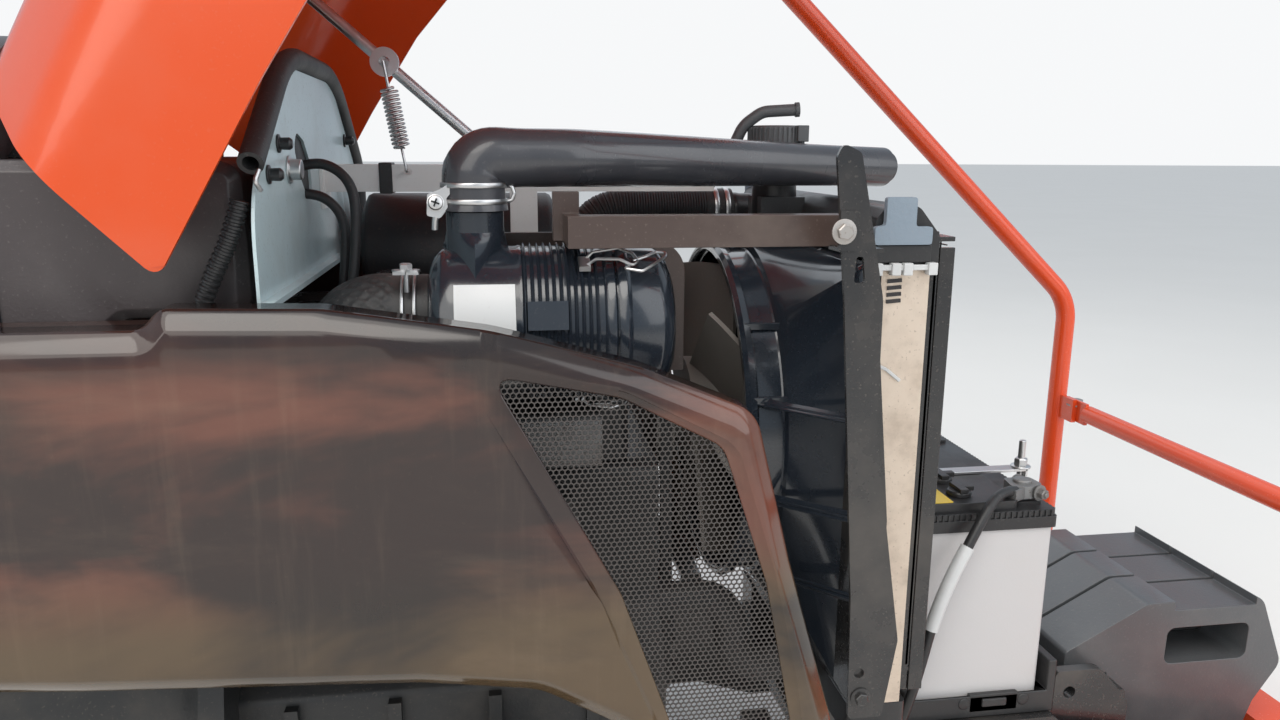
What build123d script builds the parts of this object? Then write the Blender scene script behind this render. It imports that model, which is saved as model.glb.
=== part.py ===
from build123d import *
import math
import os

# Engine bay of a compact tractor, split at the rear face of its clutch housing, bonnet propped open.
# Millimetres. X forward, Y to the left, Z up. Origin: centre of the housing's rear flange, on the crank axis.

# The gap left between two pieces that are bolted or rest together
SEAT = 0.3

# Power train
CRANK_Z = 0.0
HOUSING_LENGTH = 236.0
FLANGE_THICK = 18.0
FLANGE_RADIUS = 168.0
FLANGE_PCD = 300.0
FLANGE_BOLTS = 8
FLANGE_BOLT_R = 6.5
FLANGE_BOSS_DEPTH = 42.0
SHAFT_BORE_R = 20.0
SHAFT_BORE_DEPTH = 60.0
BELL_RADIUS = 188.0
HOUSING_WAIST_R = FLANGE_PCD / 2 - 8.0
BLOCK_LENGTH = 312.0
BLOCK_HALF = 150.0
BLOCK_DECK_HALF = 104.0
BLOCK_BOTTOM = -130.0
BLOCK_DECK = 190.0
TIMING_CASE_THICK = 24.0
HEAD_HEIGHT = 72.0
HEAD_HALF = 98.0
ROCKER_HEIGHT = 58.0
PAN_DEPTH = 108.0
FILTER_X = 432.0
FILTER_Z = -62.0

# Belt drive, in one plane in front of the timing case
PULLEY_GROOVE_WIDTH = 11.0
PULLEY_RIM = 2.5
BELT_THICK = 6.0
BELT_CLEARANCE = 0.4
CRANK_PULLEY_R = 66.0
FAN_PULLEY_R = 52.0
ALTERNATOR_PULLEY_R = 32.0
ALTERNATOR_Y = 172.0
ALTERNATOR_Z = 140.0
ALTERNATOR_R = 50.0
FAN_Z = 208.0

# Fan, shroud and radiator
FAN_BLADES = 7
FAN_RADIUS = 136.0
FAN_HUB_R = 48.0
FAN_DEPTH = 46.0
FAN_TIP_GAP = 7.0
SHROUD_OVERLAP = 40.0
SHROUD_WALL = 4.0
SHROUD_REACH = 68.0
SHROUD_CORNER = 14.0
CORE_DEPTH = 38.0
CORE_HALF = 190.0
CORE_BOTTOM = 5.0
CORE_TOP = 361.0
BOTTOM_TANK_HEIGHT = 30.0
TOP_TANK_HEIGHT = 45.0
TANK_OVERHANG = 6.0
NECK_SETBACK = 26.0
NECK_TOP = 456.0
CAP_R = 28.0
SCREEN_GAP = 2.0
SCREEN_DEPTH = 22.0
SCREEN_HALF = 178.0
SCREEN_BOTTOM = 25.0
SCREEN_TOP = 382.0
BAFFLE_OUT = 232.0
BAFFLE_THICK = 4.0
SPIGOT_LENGTH = 48.0

# Hoses
COOLANT_HOSE_R = 20.0
COOLANT_HOSE_Y = 76.0
COOLANT_HOSE_Z = 388.0
COOLANT_HOSE_WALL = 4.0
THERMOSTAT_HEIGHT = 34.0
LOWER_HOSE_Y = -92.0
LOWER_HOSE_R = 15.0

# Air cleaner and intake
CLEANER_Y = -140.0
CLEANER_Z = 317.0
CLEANER_R = 58.0
CLEANER_BACK = 394.0
CLEANER_RIBS_START = 460.0
CLEANER_RIBS = 9
CLEANER_RIB_PITCH = 6.0
CLEANER_RIB_HEIGHT = 2.4
CLEANER_RING_END = 538.0
CLEANER_CAP_LENGTH = 34.0
NECK_CLEANER_X = 428.0
NECK_CLEANER_Z = 380.0
NECK_STUB_R = 19.0
INTAKE_R = 23.0
INTAKE_TIP_R = 17.5
INTAKE_Z = 438.0
INTAKE_TIP_REACH = 80.0
INTAKE_TIP_Z = 430.0
INTAKE_BORE_DEPTH = 60.0
INTAKE_WALL = 3.0
OUTLET_HOSE_R = 31.0
FAIRING_R = 33.0

# Muffler
MUFFLER_BACK = 320.0
MUFFLER_LENGTH = 180.0
MUFFLER_R = 62.0
MUFFLER_Y = 104.0
MUFFLER_Z = 341.0
TAIL_R = 19.0

# Bulkhead, tank and cowl
BULKHEAD_X = 294.0
BULKHEAD_THICK = 2.5
BULKHEAD_HALF = 228.0
BULKHEAD_TOP = 502.0
ARCH_DROP = 86.0
ARCH_FLAT = 0.42
ARCH_CORNER_R = 34.0
ARCH_CROWN_R = 160.0
BULKHEAD_BOTTOM = 345.0
SEAL_R = 8.0
SEAL_GAP = 0.3
SEAL_FAR_END = 356.0
SEAL_NEAR_SHARE = 0.88
TANK_BACK = 122.0
TANK_FRONT = 284.0
TANK_NECK_FRONT = 200.0
TANK_STEP_Z = 336.0
TANK_HALF = 205.0
TANK_BOTTOM = 222.0
TANK_TOP = 436.0
COWL_FRONT = 112.0
COWL_HALF = 214.0
COWL_BOTTOM = 168.3
COWL_TOP = 522.0

# Side covers
COVER_INNER = 230.3
COVER_OUTER = 260.0
COVER_WALL = 3.5
COVER_CHAMFER = 9.0
MESH_THICK = 2.0

# Bonnet, drawn closed and then opened about its hinge
BONNET_OPEN = 58.3
HINGE_X = 165.0
HINGE_Z = 483.0
HINGE_PIN_R = 5.0
HINGE_ARM_Y = 122.0
HINGE_ARM_THICK = 5.0
HINGE_GAP = 0.3
PIN_CLEARANCE = 0.06
BONNET_HALF = 253.0
BONNET_WALL = 3.0
BONNET_NOSE_X = 988.0
GRILLE_HALF = 150.0
GRILLE_BOTTOM = 78.0
GRILLE_TOP = 262.0
LAMP_INNER = 88.0
LAMP_OUTER = 212.0
LAMP_BOTTOM = 278.0
LAMP_TOP = 338.0

# Stay: a rod that hangs from the bonnet and slides in a channel, with a spring
ROD_Y = 20.0
ROD_R = 5.0
ROD_TOP_X = 231.8
ROD_TOP_Z = 622.0
ROD_FOOT_X = 464.0
ROD_FOOT_Z = 420.0
ROD_EYE_SHARE = 0.5256
CHANNEL_FRONT = 640.0
CHANNEL_BOTTOM = 408.0
CHANNEL_TOP = 431.0
CHANNEL_HALF = 12.0
CHANNEL_WALL = 2.0
SPRING_X = 369.0
SPRING_Z = 425.0
SPRING_R = 6.0
SPRING_WIRE_R = 1.2

# Battery, a standard 238 x 129 x 203 case
BATTERY_GAP = 12.0
BATTERY_LENGTH = 129.0
BATTERY_HALF = 119.0
BATTERY_BOTTOM = -60.0
BATTERY_HEIGHT = 203.0
BATTERY_LID = 25.0
TRAY_THICK = 3.0
TRAY_LIP = 22.0
CLAMP_Y = -37.0

# Front frame, beam and weights
RAIL_Y = 120.0
RAIL_THICK = 12.0
RAIL_TOP = -63.3
RAIL_BOTTOM = -176.0
RAIL_OVERHANG = 15.0
AXLE_Z = -202.0
AXLE_BOSS_R = 36.0
AXLE_BORE_R = 20.0
AXLE_BOSS_LENGTH = 130.0
WEIGHT_THICK = 58.0
WEIGHT_PITCH = 62.0
WEIGHT_COUNT = 3
WEIGHT_LENGTH = 238.0
HOOK_SETBACK = 30.0
HOOK_HALF = 16.0
BEAM_SIZE = 50.0
BEAM_TOP = -125.0
BEAM_HALF = 372.0

# Roof frame posts
POST_INSET = 22.0
POST_R = 12.5
POST_WALL = 2.0
POST_BEND_Z = 244.0
POST_BEND_R = 70.0
POST_REACH = 550.0
POST_TOP_Z = 760.0
CROSSBAR_Z = 95.0
CROSSBAR_R = 12.0


def place(y=0.0):
    """The X-Z drawing plane at a Y, seen from the right-hand side."""
    return Plane(origin=(0, y, 0), x_dir=(1, 0, 0), z_dir=(0, -1, 0))


def block(x, y, z):
    """A box between two limits on each axis."""
    size = (x[1] - x[0], y[1] - y[0], z[1] - z[0])
    centre = ((x[0] + x[1]) / 2, (y[0] + y[1]) / 2, (z[0] + z[1]) / 2)
    return Pos(*centre) * Box(*size)


def outline(points, radius=0.0):
    """A closed face from X-Z corners, all or each rounded."""
    return make_face(FilletPolyline(*points, radius=radius, close=True))


def slab(points, y_low, y_high, radius=0.0):
    """An X-Z outline drawn out between two Y limits."""
    return extrude(place(y_high) * outline(points, radius), y_high - y_low)


def section(points, x_low, x_high, radius=0.0):
    """A Y-Z outline drawn out between two X limits."""
    return extrude(Plane.YZ.offset(x_low) * outline(points, radius), x_high - x_low)


def rod_x(x_low, x_high, y, z, radius):
    """A round bar along X."""
    return Pos((x_low + x_high) / 2, y, z) * Rot(0, 90, 0) * Cylinder(radius, x_high - x_low)


def rod_y(x, y_low, y_high, z, radius):
    """A round bar along Y."""
    return Pos(x, (y_low + y_high) / 2, z) * Rot(90, 0, 0) * Cylinder(radius, y_high - y_low)


def rod_z(x, y, z_low, z_high, radius):
    """An upright round bar."""
    return Pos(x, y, (z_low + z_high) / 2) * Cylinder(radius, z_high - z_low)


def turned_x(profile, y, z):
    """A body turned about an axis along X, from a list of x, radius corners."""
    face = make_face(Polyline(*[(x, r, 0) for x, r in profile], close=True))
    return Pos(0, y, z) * revolve(face, Axis.X, 360)


def pipe(points, radii, radius, bore=0.0):
    """A round tube along straight runs joined by arcs."""
    path = FilletPolyline(*points, radius=radii) if len(points) > 2 else Line(*points)
    start = Plane(origin=path @ 0, z_dir=path % 0)
    ring = start * Circle(radius)
    if bore:
        ring = ring - start * Circle(bore)
    return sweep(ring, path=path)


def mirrored(shape):
    """The shape and its twin on the other side of the tractor."""
    return [shape, mirror(shape, Plane.XZ)]


def cord_radii(points):
    """Each arc of a cable as large as its two runs allow."""
    radii = []
    for before, corner, after in zip(points, points[1:], points[2:]):
        run_in = Vector(corner) - Vector(before)
        run_out = Vector(after) - Vector(corner)
        half_turn = math.radians(run_in.get_angle(run_out)) / 2
        radii.append(0.45 * min(run_in.length, run_out.length) / math.tan(half_turn))
    return radii


def cord(name, points, diameter):
    """A cable's tube, with its arcs and length printed."""
    radii = cord_radii(points)
    tube = pipe(points, radii, diameter / 2)
    length = tube.volume / (math.pi * diameter ** 2 / 4)
    print(name, "length", round(length), "radii", [round(r) for r in radii])
    return tube


BLOCK_BACK = HOUSING_LENGTH
HEAD_BACK = BLOCK_BACK + 14.0
MANIFOLD_TOP = BLOCK_DECK + 56.0
OUTLET_HOSE_X = BULKHEAD_X + BULKHEAD_THICK + OUTLET_HOSE_R + 6.0
BLOCK_FRONT = BLOCK_BACK + BLOCK_LENGTH
TIMING_FRONT = BLOCK_FRONT + TIMING_CASE_THICK
HEAD_TOP = BLOCK_DECK + HEAD_HEIGHT
THERMOSTAT_X = BLOCK_FRONT - 22.0
THERMOSTAT_TOP = HEAD_TOP + THERMOSTAT_HEIGHT
ROCKER_TOP = HEAD_TOP + ROCKER_HEIGHT
BELT_X = TIMING_FRONT + 14.0
FAN_BACK = TIMING_FRONT + 40.0
SHROUD_RING_BACK = FAN_BACK - 8.0
SHROUD_RING_FRONT = FAN_BACK + SHROUD_OVERLAP
CORE_BACK = SHROUD_RING_FRONT + SHROUD_REACH
NECK_X = CORE_BACK - NECK_SETBACK
SPIGOT_X = CORE_BACK - SPIGOT_LENGTH
INTAKE_TIP_X = CORE_BACK + INTAKE_TIP_REACH
CORE_FRONT = CORE_BACK + CORE_DEPTH
TANK_TOP_Z = CORE_TOP + TOP_TANK_HEIGHT
SCREEN_BACK = CORE_FRONT + TANK_OVERHANG + SCREEN_GAP
RING_INNER = FAN_RADIUS + FAN_TIP_GAP
BATTERY_BACK = SCREEN_BACK + SCREEN_DEPTH + BATTERY_GAP
BATTERY_FRONT = BATTERY_BACK + BATTERY_LENGTH
BATTERY_TOP = BATTERY_BOTTOM + BATTERY_HEIGHT
RAIL_BACK = TIMING_FRONT + SEAT
RAIL_FRONT = BATTERY_FRONT + RAIL_OVERHANG
AXLE_X = BATTERY_BACK + 50.0
WEIGHT_BACK = RAIL_FRONT + 28.0
HOOK_X = WEIGHT_BACK + HOOK_SETBACK
BEAM_X = WEIGHT_BACK + WEIGHT_LENGTH + 17.0
POST_Y = BEAM_HALF - POST_INSET
POST_TOP_X = BEAM_X - POST_REACH
CLEANER_RIBS_END = CLEANER_RIBS_START + CLEANER_RIBS * CLEANER_RIB_PITCH

# The cover's outline: x, z of each corner, from the rear top round by the front
COVER_TOP = [(62, 338), (232, 338), (243, 351), (336, 349), (438, 333), (533, 307), (613, 273)]
COVER_FRONT = [(640, 164), (676, 40), (690, -56)]
COVER_BOTTOM = [(596, -56), (548, 6), (520, 46), (464, 79), (384, 91), (172, 103), (62, 112)]
COVER_OUTLINE = COVER_TOP + COVER_FRONT + COVER_BOTTOM
COVER_RADII = [14, 12, 14, 90, 120, 120, 30, 60, 60, 14, 20, 40, 60, 60, 60, 60, 14]
MESH_TOP = [(437, 304), (520, 287), (589, 251)]
MESH_FRONT = [(622, 150), (643, 43), (650, 0)]
MESH_REAR = [(592, -14), (555, 49), (520, 150)]
MESH_OUTLINE = MESH_TOP + MESH_FRONT + MESH_REAR
MESH_RADII = [8, 30, 22, 40, 40, 14, 16, 20, 40]

# Closed bonnet: half width at the skirt, crown height and shoulder height at each station along X
BONNET_STATIONS = [
    # x, half width, skirt height, shoulder height, crown height
    (96.0, BONNET_HALF, 30.0, 486.0, 522.0),
    (300.0, BONNET_HALF, 30.0, 496.0, 533.0),
    (620.0, BONNET_HALF, 30.0, 494.0, 530.0),
    (860.0, BONNET_HALF - 7.0, 30.0, 450.0, 488.0),
    (BONNET_NOSE_X, BONNET_HALF - 21.0, 30.0, 366.0, 402.0),
]


def clutch_housing():
    bell = HOUSING_LENGTH - FLANGE_THICK
    profile = [
        (0, 0), (0, FLANGE_RADIUS), (FLANGE_THICK, FLANGE_RADIUS), (FLANGE_THICK + 8, HOUSING_WAIST_R),
        (bell - 70, HOUSING_WAIST_R), (bell - 20, BELL_RADIUS - 22), (bell, BELL_RADIUS),
        (HOUSING_LENGTH, BELL_RADIUS), (HOUSING_LENGTH, 0),
    ]
    body = turned_x(profile, 0, CRANK_Z)
    for n in range(FLANGE_BOLTS):
        rib = block((FLANGE_THICK, bell), (-4, 4), (HOUSING_WAIST_R - 6, HOUSING_WAIST_R + 16))
        body += Rot(360 / FLANGE_BOLTS * (n + 0.5), 0, 0) * rib
    first, second = TANK_BACK + 8, TANK_BACK + 50
    pads = [(30, 54, COWL_BOTTOM), (first, first + 20, TANK_BOTTOM), (second, second + 20, TANK_BOTTOM)]
    for low, high, top in pads:
        body += block((low, high), (-80, 80), (HOUSING_WAIST_R - 40, top - SEAT))
    body -= rod_x(0, SHAFT_BORE_DEPTH, 0, CRANK_Z, SHAFT_BORE_R)
    for n in range(FLANGE_BOLTS):
        angle = math.radians(360 / FLANGE_BOLTS * n)
        y, z = FLANGE_PCD / 2 * math.cos(angle), FLANGE_PCD / 2 * math.sin(angle)
        body -= rod_x(0, FLANGE_BOSS_DEPTH, y, z, FLANGE_BOLT_R)
    return body


def engine_block():
    profile = [
        (-BLOCK_HALF, BLOCK_BOTTOM), (BLOCK_HALF, BLOCK_BOTTOM), (BLOCK_HALF, 24), (BLOCK_DECK_HALF, 70),
        (BLOCK_DECK_HALF, BLOCK_DECK), (-BLOCK_DECK_HALF, BLOCK_DECK),
        (-BLOCK_DECK_HALF, 70), (-BLOCK_HALF, 24),
    ]
    body = section(profile, BLOCK_BACK, BLOCK_FRONT, 10)
    case = [(-138, -130), (138, -130), (150, 20), (104, 70), (104, 190), (-104, 190), (-104, 70), (-150, 20)]
    body += section(case, BLOCK_FRONT, TIMING_FRONT, 18)
    for n in range(4):
        x = BLOCK_BACK + 40 + n * 78
        for side in (-1, 1):
            y = sorted((side * (BLOCK_HALF - 4), side * (BLOCK_HALF + 8)))
            body += block((x - 5, x + 5), y, (-118, 20))
    return body + rod_y(FILTER_X, -BLOCK_HALF - 8, -BLOCK_HALF + 4, FILTER_Z, 30)


def oil_pan():
    sump = [
        (BLOCK_BACK + 12, BLOCK_BOTTOM), (BLOCK_FRONT, BLOCK_BOTTOM), (BLOCK_FRONT, BLOCK_BOTTOM - 34),
        (BLOCK_FRONT - 120, BLOCK_BOTTOM - PAN_DEPTH), (BLOCK_BACK + 40, BLOCK_BOTTOM - PAN_DEPTH),
        (BLOCK_BACK + 12, BLOCK_BOTTOM - PAN_DEPTH + 24),
    ]
    pan = slab(sump, -118, 118)
    rim = block((BLOCK_BACK + 6, BLOCK_FRONT), (-138, 138), (BLOCK_BOTTOM - 8, BLOCK_BOTTOM))
    return pan + rim


def cylinder_head():
    head = block((HEAD_BACK, BLOCK_FRONT), (-HEAD_HALF, HEAD_HALF), (BLOCK_DECK, HEAD_TOP))
    head = fillet(head.edges().filter_by(Axis.Z), 12)
    housing = rod_z(THERMOSTAT_X, COOLANT_HOSE_Y, HEAD_TOP, THERMOSTAT_TOP, COOLANT_HOSE_R - 3)
    return head + housing


def rocker_cover():
    cover = block((HEAD_BACK + 10, BLOCK_FRONT - 44), (-66, 36), (HEAD_TOP, ROCKER_TOP))
    cover = fillet(cover.edges().filter_by(Axis.Z), 16)
    cover = fillet(cover.faces().sort_by(Axis.Z)[-1].edges(), 12)
    filler = rod_z(HEAD_BACK + 110, -16, ROCKER_TOP - 2, ROCKER_TOP + 22, 19)
    return cover + filler


def intake_manifold():
    x, y = (HEAD_BACK + 6, BLOCK_FRONT - 28), (-HEAD_HALF - 46, -HEAD_HALF)
    log = block(x, y, (MANIFOLD_TOP - 46, MANIFOLD_TOP))
    log = fillet(log.edges().filter_by(Axis.X), 10)
    neck = rod_z(OUTLET_HOSE_X, CLEANER_Y, MANIFOLD_TOP - 6, MANIFOLD_TOP + 18, OUTLET_HOSE_R - 4)
    return log + neck + rod_z(OUTLET_HOSE_X, CLEANER_Y, MANIFOLD_TOP - 24, MANIFOLD_TOP, OUTLET_HOSE_R - 1)


def exhaust_manifold():
    log = block((HEAD_BACK + 6, BLOCK_FRONT - 40), (HEAD_HALF, HEAD_HALF + 40), (204, 244))
    log = fillet(log.edges().filter_by(Axis.X), 12)
    riser = rod_z(424, HEAD_HALF + 21, 224, MUFFLER_Z - MUFFLER_R + 8, 18)
    can = rod_x(MUFFLER_BACK - 1, MUFFLER_BACK + MUFFLER_LENGTH, MUFFLER_Y, MUFFLER_Z, MUFFLER_R + SEAT)
    return log + (riser - can)


def muffler():
    front = MUFFLER_BACK + MUFFLER_LENGTH
    profile = [
        (MUFFLER_BACK, 0), (MUFFLER_BACK, MUFFLER_R - 10), (MUFFLER_BACK + 4, MUFFLER_R - 2),
        (MUFFLER_BACK + 8, MUFFLER_R), (front - 8, MUFFLER_R), (front - 4, MUFFLER_R - 2),
        (front, MUFFLER_R - 10), (front, 0),
    ]
    can = turned_x(profile, MUFFLER_Y, MUFFLER_Z)
    route = [(372, MUFFLER_Y + 30, MUFFLER_Z), (372, 200, MUFFLER_Z), (372, 200, -40), (300, 215, -90)]
    tail = pipe(route, [34, 60], TAIL_R, TAIL_R - 2)
    return can + (tail - rod_x(MUFFLER_BACK + 2, front - 2, MUFFLER_Y, MUFFLER_Z, MUFFLER_R - 0.5))


def pulley(y, z, radius):
    """A grooved belt wheel centred on the belt plane."""
    half = PULLEY_GROOVE_WIDTH / 2
    rim = radius + BELT_THICK
    profile = [
        (BELT_X - half - PULLEY_RIM, 0), (BELT_X - half - PULLEY_RIM, rim),
        (BELT_X - half, rim), (BELT_X - half, radius), (BELT_X + half, radius), (BELT_X + half, rim),
        (BELT_X + half + PULLEY_RIM, rim), (BELT_X + half + PULLEY_RIM, 0),
    ]
    return turned_x(profile, y, z)


def fan_belt():
    inner, outer = [], []
    wheels = [
        (0, CRANK_Z, CRANK_PULLEY_R), (0, FAN_Z, FAN_PULLEY_R),
        (ALTERNATOR_Y, ALTERNATOR_Z, ALTERNATOR_PULLEY_R),
    ]
    for y, z, radius in wheels:
        inner.append(Pos(y, z) * Circle(radius + BELT_CLEARANCE).edge())
        outer.append(Pos(y, z) * Circle(radius + BELT_CLEARANCE + BELT_THICK).edge())
    loop = make_hull(outer) - make_hull(inner)
    width = PULLEY_GROOVE_WIDTH - 2 * BELT_CLEARANCE
    return extrude(Plane.YZ.offset(BELT_X - width / 2) * loop, width)


def crank_pulley():
    shaft = rod_x(TIMING_FRONT, BELT_X, 0, CRANK_Z, 20)
    return pulley(0, CRANK_Z, CRANK_PULLEY_R) + shaft


def alternator():
    back = BELT_X - 118
    profile = [
        (back, 0), (back, ALTERNATOR_R - 12), (back + 10, ALTERNATOR_R), (BELT_X - 26, ALTERNATOR_R),
        (BELT_X - 16, ALTERNATOR_R - 12), (BELT_X - 16, 12), (BELT_X, 12), (BELT_X, 0),
    ]
    body = turned_x(profile, ALTERNATOR_Y, ALTERNATOR_Z)
    body += pulley(ALTERNATOR_Y, ALTERNATOR_Z, ALTERNATOR_PULLEY_R)
    y, z = (BLOCK_DECK_HALF + SEAT, ALTERNATOR_Y - 30), (ALTERNATOR_Z - 14, ALTERNATOR_Z + 14)
    return body + block((back + 12, BLOCK_FRONT - 8), y, z)


def oil_filter():
    return rod_y(FILTER_X, -BLOCK_HALF - 88, -BLOCK_HALF - 8, FILTER_Z, 38)


def injection_pump():
    body = block((350, 500), (-BLOCK_DECK_HALF - 62, -BLOCK_DECK_HALF), (92, 168))
    body = fillet(body.edges().filter_by(Axis.X), 14)
    governor = rod_x(306, 350, -BLOCK_DECK_HALF - 36, 128, 34)
    return body + governor


def fan():
    front = FAN_BACK + FAN_DEPTH
    hub = turned_x([
        (BELT_X + 6, 0), (BELT_X + 6, 26), (FAN_BACK, 26), (FAN_BACK, FAN_HUB_R), (front - 8, FAN_HUB_R),
        (front, FAN_HUB_R - 8), (front, 0)], 0, FAN_Z)
    hub += pulley(0, FAN_Z, FAN_PULLEY_R) + rod_x(TIMING_FRONT + SEAT, BELT_X, 0, FAN_Z, 16)
    rim = rod_x(FAN_BACK - 1, front, 0, FAN_Z, FAN_RADIUS)
    blade_height = FAN_RADIUS - FAN_HUB_R + 24
    for n in range(FAN_BLADES):
        middle = Pos(FAN_BACK + FAN_DEPTH / 2, 0, FAN_HUB_R - 8 + blade_height / 2)
        blade = middle * Rot(0, 0, 34) * Box(4, 66, blade_height)
        blade = Rot(360 / FAN_BLADES * n, 0, 0) * blade
        hub += Pos(0, 0, FAN_Z) * blade & rim
    return hub


def fan_shroud():
    back, front = SHROUD_RING_FRONT, CORE_BACK - TANK_OVERHANG
    height = CORE_TOP - CORE_BOTTOM
    middle = CORE_BOTTOM + 185
    outer = loft([
        Plane.YZ.offset(front) * Pos(0, middle) * RectangleRounded(2 * CORE_HALF - 4, height, SHROUD_CORNER),
        Plane.YZ.offset(back) * Pos(0, FAN_Z) * Circle(RING_INNER + SHROUD_WALL)])
    inner = loft([
        Plane.YZ.offset(front) * Pos(0, middle) * RectangleRounded(
            2 * CORE_HALF - 4 - 2 * SHROUD_WALL, height - 2 * SHROUD_WALL, SHROUD_CORNER - SHROUD_WALL),
        Plane.YZ.offset(back) * Pos(0, FAN_Z) * Circle(RING_INNER)])
    hood = outer - inner
    ring = turned_x([
        (SHROUD_RING_BACK, RING_INNER), (SHROUD_RING_BACK, RING_INNER + SHROUD_WALL),
        (back, RING_INNER + SHROUD_WALL), (back, RING_INNER)], 0, FAN_Z)
    flange = block((front, CORE_BACK), (-CORE_HALF, CORE_HALF), (CORE_BOTTOM, CORE_TOP))
    inside = (-CORE_HALF + 10, CORE_HALF - 10), (CORE_BOTTOM + 10, CORE_TOP - 10)
    flange -= block((front - 1, CORE_BACK + 1), *inside)
    return hood + ring + flange


def radiator_core():
    core = block((CORE_BACK, CORE_FRONT), (-CORE_HALF, CORE_HALF), (CORE_BOTTOM, CORE_TOP))
    low = block((CORE_BACK - TANK_OVERHANG, CORE_FRONT + TANK_OVERHANG), (-CORE_HALF, CORE_HALF),
                (CORE_BOTTOM - BOTTOM_TANK_HEIGHT, CORE_BOTTOM))
    low = fillet(low.edges().filter_by(Axis.Y), 5)
    return core + low


def radiator_tank():
    profile = [
        (CORE_BACK - TANK_OVERHANG, CORE_TOP), (CORE_FRONT + TANK_OVERHANG, CORE_TOP),
        (CORE_FRONT + TANK_OVERHANG, TANK_TOP_Z - 22), (CORE_FRONT - 12, TANK_TOP_Z),
        (CORE_BACK - TANK_OVERHANG, TANK_TOP_Z)]
    tank = slab(profile, -CORE_HALF, CORE_HALF, [1, 1, 6, 10, 6])
    shelf = block((NECK_X - 18, CORE_BACK), (-22, 22), (TANK_TOP_Z - 30, TANK_TOP_Z))
    neck = rod_z(NECK_X, 0, TANK_TOP_Z - 30, NECK_TOP, 19)
    cap = rod_z(NECK_X, 0, NECK_TOP, NECK_TOP + 10, CAP_R)
    spigot = rod_x(SPIGOT_X, CORE_BACK, COOLANT_HOSE_Y, COOLANT_HOSE_Z, COOLANT_HOSE_R - COOLANT_HOSE_WALL)
    return tank + shelf + neck + cap + spigot


def radiator_baffles():
    # Reach past the core's back face, and height, of each corner of the strip
    strip = [
        (-52, 438), (-48, 449), (-30, 443), (-15, 344), (-14, 251),
        (13, 85), (4, 22), (-23, 22), (-26, 120), (-43, 344),
    ]
    near = slab([(CORE_BACK + dx, z) for dx, z in strip], -BAFFLE_OUT, -BAFFLE_OUT + BAFFLE_THICK)
    rib = block((CORE_BACK - 20, CORE_BACK - 1), (-BAFFLE_OUT + 1, -CORE_HALF - SEAT), (30, 336))
    tab = block((CORE_BACK - 44, CORE_BACK - 16), (-BAFFLE_OUT + 1, -200), (376, 402))
    return mirrored(near + rib + tab)


def radiator_screen():
    x = (SCREEN_BACK, SCREEN_BACK + SCREEN_DEPTH)
    frame = block(x, (-SCREEN_HALF, SCREEN_HALF), (SCREEN_BOTTOM, SCREEN_TOP))
    half, low, high = SCREEN_HALF - 16, SCREEN_BOTTOM + 16, SCREEN_TOP - 16
    frame -= block((x[0] - 1, x[1] + 1), (-half, half), (low, high))
    web = block((x[0] + 9, x[0] + 11), (-half - 6, half + 6), (low - 6, high + 6))
    for y in (-96, 96):
        frame += block((x[0] + 2, x[1] - 2), (y - 10, y + 10), (RAIL_TOP + SEAT, SCREEN_BOTTOM))
    return frame + web


def upper_hose():
    y, z = COOLANT_HOSE_Y, COOLANT_HOSE_Z
    route = [(SPIGOT_X - SEAT, y, z), (THERMOSTAT_X, y, z), (THERMOSTAT_X, y, THERMOSTAT_TOP + SEAT)]
    return pipe(route, [2.3 * COOLANT_HOSE_R], COOLANT_HOSE_R, COOLANT_HOSE_R - COOLANT_HOSE_WALL)


def lower_hose():
    low = CORE_BOTTOM - BOTTOM_TANK_HEIGHT / 2
    middle = TIMING_FRONT + 68
    high = low + 70
    route = [
        (CORE_BACK - TANK_OVERHANG - SEAT, LOWER_HOSE_Y, low), (middle, LOWER_HOSE_Y, low),
        (middle, LOWER_HOSE_Y, high), (TIMING_FRONT + SEAT, LOWER_HOSE_Y, high)]
    return pipe(route, [32, 32], LOWER_HOSE_R, LOWER_HOSE_R - COOLANT_HOSE_WALL)


def air_cleaner():
    profile = [
        (CLEANER_BACK, 0), (CLEANER_BACK, CLEANER_R - 8), (CLEANER_BACK + 8, CLEANER_R),
        (CLEANER_RIBS_START, CLEANER_R)]
    top = CLEANER_R + CLEANER_RIB_HEIGHT
    for n in range(CLEANER_RIBS):
        x = CLEANER_RIBS_START + n * CLEANER_RIB_PITCH
        middle, end = x + CLEANER_RIB_PITCH / 2, x + CLEANER_RIB_PITCH
        profile += [(x, top), (middle, top), (middle, CLEANER_R), (end, CLEANER_R)]
    profile += [(CLEANER_RIBS_END, CLEANER_R + 2), (CLEANER_RING_END, CLEANER_R + 2), (CLEANER_RING_END, 0)]
    body = turned_x(profile, CLEANER_Y, CLEANER_Z)
    neck = rod_z(NECK_CLEANER_X, CLEANER_Y, CLEANER_Z, NECK_CLEANER_Z - SEAT, INTAKE_R)
    neck += rod_z(NECK_CLEANER_X, CLEANER_Y, CLEANER_Z, NECK_CLEANER_Z + 18, NECK_STUB_R)
    spigot = rod_x(CLEANER_BACK - 20, CLEANER_BACK + 4, CLEANER_Y, CLEANER_Z + 8, OUTLET_HOSE_R - 4)
    fairing = Pos(NECK_CLEANER_X, CLEANER_Y, CLEANER_Z + CLEANER_R - 11) * Cone(FAIRING_R, INTAKE_R, 30)
    return body + neck + spigot + fairing


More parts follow.
